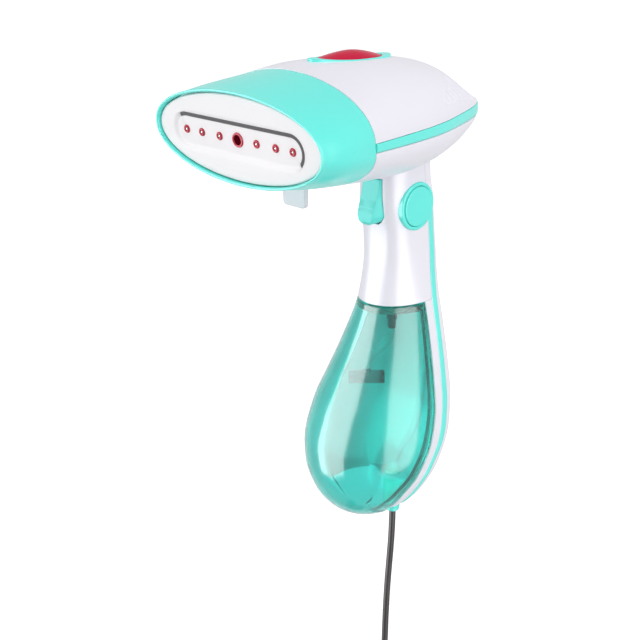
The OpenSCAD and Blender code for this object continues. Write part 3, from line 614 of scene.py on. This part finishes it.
def make_band():
    start = COLLAR_END + 0.4
    rows = [start + (TIP - start) * (1 - (1 - u) ** 2.2) for u in steps(0, 1, 90)][:-1]
    return lofted_piece("trim_band", [band_section(s, 1) for s in rows] + [band_section(TIP, 1)]
                        + [band_section(s, -1) for s in rows[::-1]])


def on_plate(x, up, behind):
    """Point on the tilted steam plate: across, up, and behind its middle."""
    return Matrix.Rotation(PLATE_TILT, 4, "X") @ Vector((x, behind, up))


def racetrack(half_h, n=24, straight=24):
    """Outline of the steam channel with the given half height."""
    points = []
    for side in (1, -1):
        for t in steps(-90 * side, 90 * side, n):
            points.append((side * (CHANNEL_END_X + half_h * cosd(t)), CHANNEL_Z + half_h * sind(t)))
        for u in steps(1, -1, straight)[1:-1]:
            points.append((side * u * CHANNEL_END_X, CHANNEL_Z + side * half_h))
    return points


def plate_loop(outline, behind):
    return [on_plate(x, z, behind) for x, z in outline]


def groove_share(x, z):
    """1 where the channel has a deep groove, above and at the right end, and 0 where it slopes."""
    end = math.copysign(max(0, abs(x) - CHANNEL_END_X), x)
    turn = math.degrees(math.atan2(z - CHANNEL_Z, end))
    return ease((turn + 62) / 24) * ease((140 - turn) / 30)


def channel_loop(groove, slope):
    """Loop round the channel; both pairs are (grow, behind), for the grooved and the sloping side."""
    shares = [groove_share(x, z) for x, z in racetrack(CHANNEL_HALF_H)]
    wide, narrow = racetrack(CHANNEL_HALF_H + groove[0]), racetrack(CHANNEL_HALF_H + slope[0])
    points = []
    for k, a, b in zip(shares, wide, narrow):
        points.append(on_plate(b[0] + (a[0] - b[0]) * k, b[1] + (a[1] - b[1]) * k,
                               slope[1] + (groove[1] - slope[1]) * k))
    return points


def make_plate():
    """Oval plate with a rounded rim and a sunk channel that holds the outlets."""
    channel = racetrack(CHANNEL_HALF_H + 2.6)
    turns = [math.atan2(z * PLATE_A / PLATE_B, x) for x, z in racetrack(15)]
    oval = [(PLATE_A * math.cos(a), PLATE_B * math.sin(a)) for a in turns]
    loops = [plate_loop([(x * 0.9, z * 0.9) for x, z in oval], 2.3), plate_loop(oval, 2.3)]
    for k, behind in ((1.0, -0.3), (0.9985, -0.75), (0.994, -1.05), (0.986, -1.2)):
        loops.append(plate_loop([(x * k, z * (1 - (1 - k) * 2.6)) for x, z in oval], behind))
    for k in (0.8, 0.55, 0.3, 0.1):
        loops.append(plate_loop([(c[0] + (x - c[0]) * k, c[1] + (z - c[1]) * k)
                                 for (x, z), c in zip(oval, channel)], -1.25))
    edge = (((1.3, -1.25), (2.5, -1.25)), ((1.15, -1.16), (2.0, -1.15)), ((1.0, -0.8), (1.2, -0.75)),
            ((0.98, 1.9), (0.4, -0.15)), ((-0.98, 1.9), (-0.2, 0.2)), ((-1.0, -0.1), (-0.7, 0.32)),
            ((-1.2, -0.45), (-1.1, 0.3)), ((-1.6, -0.6), (-1.8, 0.2)), ((-4.0, -0.35), (-4.2, -0.1)),
            ((-7.2, -0.2), (-7.2, -0.15)))
    loops += [channel_loop(groove, slope) for groove, slope in edge]
    return lofted_piece("steam_plate_face", loops)


def make_groove_shade_strip():
    """Dark strip in the channel's groove that paints its shade, above and at the right end; gone where
    the channel slopes.
    """
    profile = (((1.02, -0.95), (0.35, 0.9)), ((0.5, -1.02), (0.2, 0.9)), ((-0.6, -1.0), (0.0, 0.9)),
               ((-1.02, -0.9), (-0.3, 0.9)), ((-1.02, 1.0), (-0.3, 1.4)), ((1.02, 1.0), (0.35, 1.4)))
    return ring_piece("groove_painted_shade", [channel_loop(groove, slope) for groove, slope in profile])


def nozzle_matrix(x):
    face = Matrix.Rotation(PLATE_TILT, 4, "X") @ Matrix.Translation((x, 0, CHANNEL_Z))
    return face @ Matrix.Rotation(math.radians(-90), 4, "X")


def make_nozzle(name, x, flange, body, hole):
    """Red outlet with a rounded flange round a sunk dark bore; heights run back from the plate."""
    profile = [(hole, 3.2), (hole, -0.6), (hole + 0.2, -0.9), (flange * 0.78, -1.0),
               (flange - 0.25, -0.85), (flange, -0.4), (flange, 0.3), (body, 0.32), (body, 4.6)]
    return turned_ring(name, profile, nozzle_matrix(x), 40)


def make_nozzle_core(name, x, hole):
    """Dark insert filling the bore, darkened as painted shade of the open bore."""
    profile = [(hole * 0.99, 0.6), (hole * 0.99, -0.42), (hole * 0.6, -0.36), (0.02, -0.34)]
    return turned_piece(name, profile, nozzle_matrix(x), 24)


def make_nozzle_pip(name, x, radius):
    """Small bright needle in the middle of an outlet."""
    profile = [(radius, 0.2), (radius, -0.62), (radius * 0.7, -0.74), (0.02, -0.78)]
    return turned_piece(name, profile, nozzle_matrix(x), 16)


def lens_outline(a, b, n=96, power=1.12):
    return [(a * spow(cosd(360 * i / n), power), b * spow(sind(360 * i / n), power)) for i in range(n)]


def crown_ring(a, b, lift):
    return [Vector((x, LENS_Y + y, crown_z(x, LENS_Y + y) + lift)) for x, y in lens_outline(a, b)]


def make_bezel():
    """Ring round the lens whose pointed ends rise."""
    profile = [(12.5, 32, 0.05, 0), (12.5, 32, 0.25, 1), (12.4, 31.8, 0.42, 1), (12.2, 31.3, 0.55, 1),
               (11.9, 29, 0.6, 1), (11.6, 26, 0.6, 1), (11.45, 24.6, 0.55, 1), (11.4, 24.2, 0.45, 1),
               (11.4, 24.2, 0.05, 0)]
    rings = []
    for a, b, lift, share in profile:
        ring = crown_ring(a, b, lift)
        for p in ring:
            p.z += share * 1.5 * ((p.y - LENS_Y) / 32) ** 4
        rings.append(ring)
    return ring_piece("lens_bezel", rings)


def make_lens():
    dome = [(8.8, 17.8, -1.4), (8.8, 17.8, 0.2), (11.2, 24, 0.25), (11.25, 24.1, 0.5),
            (11.1, 23.6, 0.75)]
    for u in steps(0.04, 1, 12):
        dome.append((11.1 * (1 - u) + 0.05, 23.6 * (1 - u) + 0.1, 0.75 + 2.65 * (1 - (1 - u) ** 1.7)))
    return lofted_piece("lens_dome", [crown_ring(*row) for row in dome])


def make_catch():
    """Spring tab with rounded lower corners."""
    half_w, low, high, radius = 8.5, -44.1, -31.2, 2.5
    front, rear = 39.7, 42.7
    outline = [(half_w, high)]
    outline += [(half_w - radius + radius * cosd(t), low + radius + radius * sind(t))
                for t in steps(0, -90, 8)]
    outline += [(-x, z) for x, z in outline[:0:-1]] + [(-half_w, high)]
    obj = lofted_piece("catch_tab", [[Vector((x, y, z)) for x, z in outline] for y in (front, rear)])
    return bevelled(obj, 0.45)


# ---- handle ----

def raised(points):
    return [Vector((p.x, p.y, head_floor(p.x, p.y) - SEAM_GAP)) for p in points]


def sections_to_head(section, rows):
    """Sections up the handle, ending in one that follows the head's underside."""
    rise = 7
    out = [section(z) for z in rows]
    top = raised(section(HANDLE_TOP_Z + rise))
    base = section(HANDLE_TOP_Z)
    for u in (0.25, 0.5, 0.75):
        mid = section(HANDLE_TOP_Z + rise * u)
        out.append([Vector((m.x, m.y, b.z + (t.z - b.z) * u)) for m, b, t in zip(mid, base, top)])
    return out + [top]


def front_section(z, m=96):
    a = smooth(STRIP_LOW, z) - 0.3
    outer = [body_point(z, t) for t in steps(a, -180 - a, m)]
    inner = [body_point(z, t, -WALL) for t in steps(a, -180 - a, m)]
    return outer + inner[::-1]


def rear_half(z, sunk_to):
    """Outer line of half the rear shell, sunk where the trim strip lies in it."""
    a, b, start = smooth(STRIP_LOW, z), smooth(STRIP_HIGH, z), lip(z)
    sunk = -0.95 if z < sunk_to else 0.0
    first = max(start, a)
    line = [(t, 0.0) for t in steps(start, first + 0.05, 6)]
    line += [(first + 0.3, sunk), ((a + b) / 2 + 0.1, sunk), (b - 0.3, sunk), (b, 0.0)]
    line += [(t, 0.0) for t in steps(b, 90, 30)[1:]]
    return line


def rear_section(z):
    right, left = rear_half(z, STRIP_TOP_Z), rear_half(z, 0)
    line = right + [(180 - t, off) for t, off in left[-2::-1]]
    outer = [body_point(z, t, off) for t, off in line]
    inner = [body_point(z, t, -WALL - 0.3) for t, off in line]
    return outer + inner[::-1]


def bore_cutter():
    """Seat of the round trim in the handle's right side."""
    return turned_piece("side_bore", [(TRIM_R + 0.1, 0), (TRIM_R + 0.1, 40)],
                        side_axis(TRIM_Y, TRIM_Z), 96)


# Trigger: height, half width in front, half width behind, front face, back face
TRIGGER_ROWS = [(-39.9, 6.5, 7, 103.5, 108), (-46, 6.5, 7.2, 102.6, 108.5), (-52, 6.3, 7.6, 101, 109),
                (-57, 6.1, 8, 99.4, 109.5), (-61.4, 5.8, 8, 98.2, 110), (-64.8, 4.6, 6.4, 98, 110),
                (-66.8, 2.4, 3.4, 99, 109.6)]
SLOT_ROWS = [(-39.4, 7.4), (-46, 7.6), (-52, 8), (-57, 8.4), (-61.4, 8.5), (-65, 6.8), (-67.8, 3.7)]
PIVOT_Y, PIVOT_Z = 110.5, -44.0


def column(rows, k):
    """One column of a row table as a profile going up."""
    return [(row[0], row[k]) for row in rows[::-1]]


def make_slot_cutter():
    rows = steps(SLOT_ROWS[-1][0], SLOT_ROWS[0][0], 24)
    width = column(SLOT_ROWS, 1)
    front, rear = 92, 116
    corners = ((-1, front), (1, front), (1, rear), (-1, rear))
    return lofted_piece("slot", [[Vector((x * smooth(width, z), y, z)) for x, y in corners]
                                 for z in rows])


def make_front_shell():
    rows = steps(TANK_TOP_Z + 0.15, HANDLE_TOP_Z, 44)
    obj = wall_piece("front_shell", sections_to_head(front_section, rows))
    bevelled(obj, 0.35)
    cut(obj, bore_cutter())
    return cut(obj, make_slot_cutter())


def make_gland_plate():
    """Closes the rear shell below, behind the tank, round the lead's gland."""
    z = CRADLE_END_Z + 2.6
    outline = [body_point(CRADLE_END_Z, t, -WALL - 0.7) for t in steps(47, 133, 32)]
    outline += [body_point(z, t, 0.8 + tank_cover(z, t)) for t in steps(133, 47, 32)]
    levels = (CRADLE_END_Z + 0.02, CRADLE_END_Z + 2.4)
    obj = lofted_piece("gland_floor", [[Vector((p.x, p.y, h)) for p in outline] for h in levels])
    hole = turned_piece("gland_hole", [(GLAND_NECK_R + 0.05, -260), (GLAND_NECK_R + 0.05, -230)],
                        Matrix.Translation((0, GLAND_Y, 0)), 48)
    return cut(obj, hole)


def make_rear_shell():
    low_rows = steps(CRADLE_END_Z, TANK_TOP_Z - 0.01, 70)
    high_rows = steps(TANK_TOP_Z + 0.01, HANDLE_TOP_Z, 44)
    obj = wall_piece("rear_shell", sections_to_head(rear_section, low_rows + high_rows))
    bevelled(obj, 0.3, 2, 50)
    return cut(obj, bore_cutter())


def strip_section(z, flip):
    a, b = smooth(STRIP_LOW, z) + 0.4, smooth(STRIP_HIGH, z) - 0.4
    outline = [(a, -0.85), (a, 0.0), (a + 0.5, 0.28), (a + 1.2, 0.36)]
    outline += [(t, 0.38) for t in steps(a + 1.2, b - 1.2, 4)[1:-1]]
    outline += [(b - 1.2, 0.36), (b - 0.5, 0.28), (b, 0.0), (b, -0.85)]
    section = [body_point(z, t, off) for t, off in outline]
    return [Vector((flip * p.x, p.y, p.z)) for p in section]


def make_right_strip():
    """Trim strip from the tank's end up to the round trim."""
    rows = steps(STRIP_BOTTOM_Z, STRIP_TOP_Z, 90)
    obj = lofted_piece("right_strip", [strip_section(z, 1) for z in rows])
    return cut(obj, bore_cutter())


def make_left_strip():
    """Trim strip from the tank's end up to the head."""
    rows = steps(STRIP_BOTTOM_Z, HANDLE_TOP_Z, 96)
    return lofted_piece("left_strip", sections_to_head(lambda z: strip_section(z, -1), rows))


def make_trim_ring():
    """Round trim with a rolled front edge."""
    face = TRIM_FACE_X - 1.0
    profile = [(6.5, 10), (6.5, 11.5), (BUTTON_R + 0.3, 11.5), (BUTTON_R + 0.3, face - 0.5),
               (BUTTON_R + 0.5, face - 0.12), (BUTTON_R + 0.9, face), (TRIM_R - 0.8, face),
               (TRIM_R - 0.3, face - 0.15), (TRIM_R - 0.05, face - 0.5), (TRIM_R, face - 1),
               (TRIM_R, 10)]
    return turned_ring("right_ring", profile, side_axis(TRIM_Y, TRIM_Z), 96)


def make_power_button():
    """Slightly domed cap with a rounded edge, on a stem."""
    edge, top = BUTTON_R, TRIM_FACE_X
    rounded = [(edge - 0.7 + 0.7 * cosd(t), top - 1.0 + 0.7 * sind(t)) for t in steps(0, 80, 6)]
    domed = [(edge * k, top - 0.3 + 0.3 * (1 - k * k)) for k in (0.9, 0.75, 0.6, 0.45, 0.3, 0.15, 0.01)]
    profile = [(0.01, 7.2), (2.4, 7.2), (2.4, 13.6), (edge, 13.6)] + rounded + domed
    return turned_piece("power_button_cap", profile, side_axis(TRIM_Y, TRIM_Z), 96)


def trigger_section(z):
    """Flat-fronted section whose side facets widen downwards."""
    narrow, wide, front, rear = [smooth(column(TRIGGER_ROWS, k), z) for k in (1, 2, 3, 4)]
    half = [(wide, rear), (wide, 105.4), (wide - 0.25, 104.9), (narrow + 0.12, front + 0.3),
            (narrow - 0.25, front)]
    points = half + [(-x, y) for x, y in half[::-1]]
    return [Vector((x, y, z)) for x, y in points]


def make_trigger():
    low, high = TRIGGER_ROWS[-1][0], TRIGGER_ROWS[0][0]
    rows = [low + (high - low) * (1 - cosd(90 * u)) for u in steps(0, 1, 34)]
    obj = bevelled(lofted_piece("trigger_blade", [trigger_section(z) for z in rows]), 0.5, 3, 50)
    pivot = side_axis(PIVOT_Y, PIVOT_Z)
    joined(obj, turned_piece("trigger_hub", [(3, -6.5), (3, 6.5)], pivot, 40))
    return cut(obj, turned_piece("trigger_bore", [(1.55, -10), (1.55, 10)], pivot, 32))


# ---- tank ----

def tank_line(z, shift):
    """Outline of the tank: flush in front, stepped in behind the lip."""
    a = smooth(LIP_T, z) + shift
    half = [(t, 0.0) for t in steps(-90, a - 1.6, 44)]
    half += [(a - 1.0, -0.25), (a - 0.5, tank_cover(z, 0) * 0.6), (a - 0.3, tank_cover(z, 0))]
    half += [(t, tank_cover(z, t)) for t in steps(a + 2, 90, 34)]
    return half + [(180 - t, off) for t, off in half[-2:0:-1]]


def tank_ring(z):
    return [body_point(z, t, off) for t, off in tank_line(z, 0)]


def tank_inside(z):
    m = (smooth(BODY_W, z + 0.3) - smooth(BODY_W, z - 0.3)) / 0.6
    k = TANK_WALL / math.sqrt(1 + m * m)
    points = [body_point(z, t, off - k) for t, off in tank_line(z, -2.5)]
    return [Vector((p.x, p.y, p.z + k * m)) for p in points]


def mouth_ring(z, r):
    return [Vector((r * cosd(t), MOUTH_Y + r * sind(t), z)) for t, off in tank_line(-118, 0)]


def make_tank():
    low, high = -257.6, -118.9
    ceiling_z = -120.8
    rows = [low + (high - low) * (1 - cosd(90 * u)) for u in steps(0, 1, 64)]
    shoulder = [[Vector((p.x * 0.985, MOUTH_Y + (p.y - MOUTH_Y) * 0.985, -118.4))
                 for p in tank_ring(-118.5)]]
    outside = [tank_ring(z) for z in rows] + shoulder
    mouth = [mouth_ring(TANK_TOP_Z - 0.4, 16.3), mouth_ring(TANK_TOP_Z - 0.4, 11.5),
             mouth_ring(-124, 11.5), mouth_ring(-124, 13.2), mouth_ring(ceiling_z, 13.4)]
    inside = [tank_inside(z) for z in rows[::-1] if z < ceiling_z][:-1]
    return lofted_piece("tank_shell", outside + mouth + inside)


def knurled_circle(r, z, n):
    """Circle round the tank's mouth with every second pair of points drawn in."""
    rings = (circle(r, z, n, MOUTH_Y), circle(r - 0.3, z, n, MOUTH_Y))
    return [rings[1 if i % 4 < 2 else 0][i] for i in range(n)]


def make_neck_ring():
    """Screwed collar in the tank's mouth with a knurled edge."""
    n = 96
    edge = [(-123.5, 11.0), (-123.1, 11.4), (-119.6, 11.4), (-118.9, 11.2), (-118.5, 10.8)]
    rings = [knurled_circle(r, z, n) for z, r in edge]
    rings += [circle(5.03, z, n, MOUTH_Y) for z in (-118.5, -123.5)]
    return ring_piece("neck_collar", rings)


# ---- gland, lead and plug ----

def make_gland():
    """Strain relief: clamped neck, a boot swollen towards the rear, and a ribbed tip."""
    rows = [(0.01, -239.9, 0), (5.4, -239.9, 0), (5.6, -241.5, 0), (GLAND_NECK_R, -241.5, 0),
            (GLAND_NECK_R, -244.1, 0), (6.9, -244.1, 1.0), (7.2, -244.5, 1.2), (7.6, -246, 1.3),
            (7.5, -249, 1.2), (7.2, -251.5, 1.0), (6.7, -254, 0.7), (6.1, -257, 0.2), (5.8, -259, 0),
            (5.7, -261.5, 0), (5.5, -262.4, 0), (5.0, -263.3, 0), (4.85, -264.5, 0), (4.85, -265.3, 0),
            (4.4, -265.6, 0), (4.4, -266.4, 0), (4.7, -266.7, 0), (4.6, -267.8, 0), (4.2, -268.1, 0),
            (4.2, -268.8, 0), (4.4, -269.1, 0), (4.1, -269.9, 0), (0.01, -270, 0)]
    return lofted_piece("gland_boot", [circle(r, z, 64, GLAND_Y + back) for r, z, back in rows])


# Each turn's place in the coil, in cord widths: outward from the mean radius, and up
COIL_TURNS = [(1.5, 0), (0.5, 0), (-0.5, 0), (-1.5, 0), (-1.5, 1), (-0.5, 1), (0.5, 1), (1.5, 1),
              (0.5, 2), (-0.5, 2)]


def coil_points(per_turn=32):
    """Turns wound beside and on each other, a cord's width apart, clockwise from above."""
    points = []
    last = len(COIL_TURNS) - 1
    for i in range(len(COIL_TURNS) * per_turn + 1):
        turn, part = divmod(i, per_turn)
        here = COIL_TURNS[min(turn, last)]
        after = COIL_TURNS[min(turn + 1, last)]
        k = ease((part / per_turn - 0.75) / 0.25)
        r = COIL_MEAN_R + CORD_D * (here[0] + (after[0] - here[0]) * k)
        z = FLOOR_Z + CORD_D / 2 + CORD_D * (here[1] + (after[1] - here[1]) * k)
        t = 360 * i / per_turn
        points.append((COIL_CENTRE[0] + r * cosd(t), COIL_CENTRE[1] - r * sind(t), z))
    return points


def make_cord():
    route = LEAD_POINTS + coil_points() + TAIL_POINTS
    curve = bpy.data.curves.new("mains_lead", "CURVE")
    curve.dimensions = "3D"
    curve.bevel_depth = CORD_D / 2 * MM
    curve.bevel_resolution = 5
    curve.use_fill_caps = True
    spline = curve.splines.new("NURBS")
    spline.points.add(len(route) - 1)
    for point, place in zip(spline.points, route):
        point.co = (*((Vector(place) - GRIP) * MM), 1)
    spline.order_u = 4
    spline.use_endpoint_u = True
    spline.resolution_u = 6
    obj = bpy.data.objects.new("mains_lead", curve)
    bpy.context.collection.objects.link(obj)
    obj.data.materials.append(CORD)
    return obj


def make_tie():
    """Hook-and-loop strap round the coil."""
    reach = 2 * CORD_D + 1
    height = 3.2 * CORD_D + 1
    outline = [(-reach, 0.05), (-reach, height - 2), (-reach + 0.6, height - 0.6), (-reach + 2, height),
               (reach - 2, height), (reach - 0.6, height - 0.6), (reach, height - 2), (reach, 0.05)]
    inner = [(x * 0.9, z - 0.9 if z > 1 else z) for x, z in outline]
    base = Vector((COIL_CENTRE[0] - COIL_MEAN_R, COIL_CENTRE[1], FLOOR_Z))
    rows = [[base + Vector((x, y, z)) for x, z in outline + inner[::-1]] for y in (-3, 3)]
    return bevelled(wall_piece("coil_tie", rows), 0.3)


def stadium(half_w, half_h, n=16):
    """Outline with round ends, in x and z."""
    points = []
    for side in (1, -1):
        for t in steps(-90 * side, 180 - 90 * side, n):
            points.append((side * (half_w - half_h) + half_h * cosd(t), half_h * sind(t)))
    return points


def make_plug():
    """Two-pin plug: waisted body, flat face and a ribbed strain relief."""
    rows = [(54, 3.4, 3.4), (53.4, 3.6, 3.6), (51, 3.7, 3.7), (50.6, 4.2, 4.2), (48.6, 4.3, 4.3),
            (48.2, 3.9, 3.9), (46.4, 4.1, 4.1), (46, 4.7, 4.7), (44, 4.8, 4.8), (43.6, 4.4, 4.4),
            (41.5, 4.8, 4.8), (41, 5.4, 5.4), (38.6, 5.7, 5.7), (36.3, 6.6, 6.5), (35.9, 12.0, 9.5),
            (35.2, 14.5, 11.3), (33.5, 16.2, 12.3), (30, 17.2, 12.8), (26, 16.4, 12.4), (22, 16.2, 12.2),
            (18, 16.9, 12.7), (15.4, 17.3, 12.9), (14.5, 17.1, 12.7), (14.05, 16.4, 12.0)]
    return lofted_piece("plug_shell", [
        [Vector((PLUG_X + x, y, PLUG_Z + z)) for x, z in stadium(w, min(h, w - 0.01))]
        for y, w, h in rows])


def make_pins():
    """Round pins with rounded tips."""
    profile = [(2.4, 0), (2.4, 16.8), (2.25, 17.9), (1.8, 18.6), (1.0, 18.95), (0.05, 19)]
    forward = Matrix.Rotation(math.radians(90), 4, "X")
    pins = []
    for i, x in enumerate((-9.5, 9.5)):
        matrix = Matrix.Translation((PLUG_X + x, PLUG_FACE_Y, PLUG_Z)) @ forward
        pins.append(turned_piece("plug_pin_%d" % i, profile, matrix, 32))
    return pins


# ---- inside the tank ----

def make_connector():
    """Stepped spout that the hose plugs on to, under the tank's collar."""
    profile = [(1.5, -139), (2.2, -139), (2.4, -138.4), (2.4, -133), (3.2, -133), (3.2, -125),
               (5, -125), (5, -118.6), (1.5, -118.6)]
    return ring_piece("hose_spout", [circle(r, z, 40, MOUTH_Y) for r, z in profile])


def make_weight():
    """Bar that keeps the hose's end down, with the nipple that the hose fits on."""
    place = Matrix.Translation((-13.4, 117, 0)) @ Matrix.Rotation(math.radians(44), 4, "Z")
    half_l, half_w = 11.4, 3.5
    corners = ((-half_l, -half_w), (half_l, -half_w), (half_l, half_w), (-half_l, half_w))
    bar = bevelled(lofted_piece("pickup_bar", [[place @ Vector((x, y, z)) for x, y in corners]
                                               for z in (-177.3, -170.8)]), 0.5)
    nipple = turned_piece("nipple", [(2.2, -172), (2.2, -168.7), (1.9, -168.2)], place, 32)
    return joined(bar, nipple)


# ---- studio ----

# The camera's place in the drawing frame, and the directions behind it and to its right
CAMERA_PLACE = Vector((452.09, -408.13, 133.66))
CAMERA_BACK = Vector((0.6483, -0.6718, 0.3584))
CAMERA_RIGHT = Vector((0.7197, 0.6943, 0))
# In metres in the model's frame
LIGHT_TARGET = Vector((0, -0.01, -0.02))
LIGHT_DISTANCE = 1.3
FLOOR_HALF = 9


def make_camera():
    camera = bpy.data.cameras.new("camera")
    camera.lens = 67.5
    camera.sensor_width = 36
    camera.clip_end = 50
    obj = bpy.data.objects.new("camera", camera)
    bpy.context.collection.objects.link(obj)
    back = CAMERA_BACK.normalized()
    right = CAMERA_RIGHT.normalized()
    up = back.cross(right)
    turn = Matrix((right, up, back)).transposed().to_4x4()
    obj.matrix_world = Matrix.Translation((CAMERA_PLACE - GRIP) * MM) @ turn
    bpy.context.scene.camera = obj


def seen_strength(tree, lighting, seen, through):
    """Brightness as it lights the object, as the camera sees it, and as seen through the tank."""
    path = tree.nodes.new("ShaderNodeLightPath")
    straight = ranged(tree, path.outputs["Is Camera Ray"], lighting, seen)
    clear = ranged(tree, path.outputs["Is Transmission Ray"], 0.0, through - lighting)
    total = tree.nodes.new("ShaderNodeMath")
    total.operation = "ADD"
    tree.links.new(straight, total.inputs[0])
    tree.links.new(clear, total.inputs[1])
    return total.outputs["Value"]


def make_floor():
    """Pale floor that is brighter to the camera than the light it throws back on the object."""
    mesh = bpy.data.meshes.new("floor")
    clearance = 0.0002
    height = (FLOOR_Z - GRIP.z) * MM - clearance
    corners = ((-FLOOR_HALF, -FLOOR_HALF), (FLOOR_HALF, -FLOOR_HALF),
               (FLOOR_HALF, FLOOR_HALF), (-FLOOR_HALF, FLOOR_HALF))
    mesh.from_pydata([(x, y, height) for x, y in corners], [], [(0, 1, 2, 3)])
    floor = bpy.data.objects.new("floor", mesh)
    bpy.context.collection.objects.link(floor)
    mat, tree, bsdf = new_material("floor_paper")
    bsdf.inputs["Base Color"].default_value = (0.78, 0.78, 0.785, 1)
    bsdf.inputs["Roughness"].default_value = 0.9
    bsdf.inputs["Emission Color"].default_value = (1, 1, 1, 1)
    tree.links.new(seen_strength(tree, 0.0, 0.48, 0.0), bsdf.inputs["Emission Strength"])
    floor.data.materials.append(mat)
    floor.visible_glossy = False


def make_softbox(name, angle, elevation, size, brightness, reaches="diffuse"):
    """Soft light at an angle round the object, positive to the camera's right.

    It reaches one kind of ray: diffuse surfaces, glossy reflections, or what is inside the clear tank.
    """
    front = Vector((CAMERA_BACK.x, CAMERA_BACK.y, 0)).normalized()
    right = CAMERA_RIGHT.normalized()
    level = front * cosd(angle) + right * sind(angle)
    direction = level * cosd(elevation) + Vector((0, 0, 1)) * sind(elevation)
    light = bpy.data.lights.new(name, "AREA")
    light.shape = "RECTANGLE"
    light.size, light.size_y = size
    light.energy = brightness * math.pi * size[0] * size[1]
    obj = bpy.data.objects.new(name, light)
    bpy.context.collection.objects.link(obj)
    obj.location = LIGHT_TARGET + direction * LIGHT_DISTANCE
    obj.rotation_euler = (-direction).to_track_quat("-Z", "Y").to_euler()
    obj.visible_camera = False
    obj.visible_diffuse = reaches == "diffuse"
    obj.visible_glossy = reaches == "glossy"
    obj.visible_transmission = reaches == "inside"


def make_world():
    world = bpy.data.worlds.new("studio")
    world.use_nodes = True
    bpy.context.scene.world = world
    background = world.node_tree.nodes["Background"]
    background.inputs["Color"].default_value = (0.99, 0.985, 1.0, 1)
    tree = world.node_tree
    tree.links.new(seen_strength(tree, 0.75, 1.0, 0.45), background.inputs["Strength"])


def make_studio():
    make_camera()
    make_floor()
    make_world()
    make_softbox("front_softbox", 25, 52, (1.1, 1.1), 1.0)
    make_softbox("left_softbox", -75, 15, (1.3, 1.5), 0.7)
    make_softbox("right_softbox", 62, 15, (1.3, 1.5), 0.85)
    make_softbox("left_glow", -71, 6, (1.4, 2.4), 8.0, "glossy")
    make_softbox("right_glow", 41, 6, (1.2, 2.4), 5.5, "glossy")
    make_softbox("tank_fill", -55, 14, (2.4, 1.8), 3.2, "inside")
    bpy.context.scene.view_settings.view_transform = "Standard"


# ---- assembly ----

def build_head():
    finished(make_front_collar(), TEAL, "main", "teal_plastic", "front_collar")
    finished(make_upper_shell(), WHITE, "main", "white_plastic", "upper_head_shell")
    finished(make_lower_shell(), WHITE, "main", "white_plastic", "lower_head_shell")
    finished(make_band(), TEAL, "main", "teal_plastic", "head_trim_band")
    finished(make_plate(), PLATE, "main", "plate_metal", "steam_plate")
    for i, x in enumerate(OUTLET_XS):
        nozzle = finished(make_nozzle("nozzle_%d" % i, x, *SMALL_OUTLET), RED, "main", "red_plastic")
        if i == 0:
            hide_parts("steam_nozzles")
        # Dark insert: painted shade of the outlet's bore
        finished(make_nozzle_core("nozzle_core_%d" % i, x, SMALL_OUTLET[2]), RED_BORE_SHADE, "main",
                 "red_plastic")
        finished(make_nozzle_pip("nozzle_pip_%d" % i, x, PIP_R), STEEL, "main", "steel")
    finished(make_nozzle("nozzle_centre", 0, *CENTRE_OUTLET), RED, "main", "red_plastic",
             "centre_nozzle")
    # Deeper dark insert: painted shade of the centre outlet's bore
    finished(make_nozzle_core("nozzle_core_centre", 0, CENTRE_OUTLET[2]), RED_DEEP_BORE_SHADE, "main",
             "red_plastic")
    # Strip of painted shade in the channel's groove
    finished(make_groove_shade_strip(), GROOVE_SHADE_STRIP, "main", "silicone")
    finished(make_bezel(), TEAL, "main", "teal_plastic", "indicator_bezel")
    finished(make_lens(), LENS, "main", "red_lens", "indicator_lens")
    # Catch tab in a darker copy of the white plastic: painted shade
    finished(make_catch(), WHITE_MATT_SHADED, "main", "white_plastic", "attachment_catch")


def build_handle():
    finished(make_front_shell(), WHITE, "main", "white_plastic", "front_handle_shell")
    finished(make_rear_shell(), WHITE, "main", "white_plastic", "rear_handle_shell")
    finished(make_gland_plate(), WHITE, "main", "white_plastic", "gland_plate")
    finished(make_right_strip(), TEAL, "main", "teal_plastic", "right_trim_strip")
    finished(make_left_strip(), TEAL, "main", "teal_plastic", "left_trim_strip")
    finished(make_trim_ring(), TEAL, "main", "teal_plastic", "right_trim_ring")
    finished(make_power_button(), TEAL, "power_button", "teal_plastic", "power_button")
    finished(make_trigger(), TEAL_MATT, "trigger", "teal_plastic", "trigger")


def build_tank():
    finished(make_tank(), TANK, "water_tank", "tank_plastic", "water_tank")
    finished(make_neck_ring(), RING_TEAL, "water_tank", "tank_ring_plastic", "tank_neck_ring")
    finished(make_connector(), DARK_TEAL, "water_tank", "dark_teal_plastic", "hose_connector")
    finished(make_weight(), DARK_TEAL, "water_tank", "dark_teal_plastic", "pickup_weight")


def build_lead():
    finished(make_gland(), TEAL, "main", "teal_plastic", "cord_gland")
    cord = make_cord()
    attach(cord, "main")
    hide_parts("power_cord", "cord_coil")
    plug = finished(make_plug(), BLACK, "main", "black_plastic", "plug_body")
    pins = [finished(pin, PIN, "main", "brass_pin") for pin in make_pins()]
    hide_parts("plug_pins")
    tie = finished(make_tie(), BLACK, "main", "black_plastic", "cord_tie")


make_studio()
dress_cad_nodes()
build_lead()
build_head()
build_handle()
build_tank()
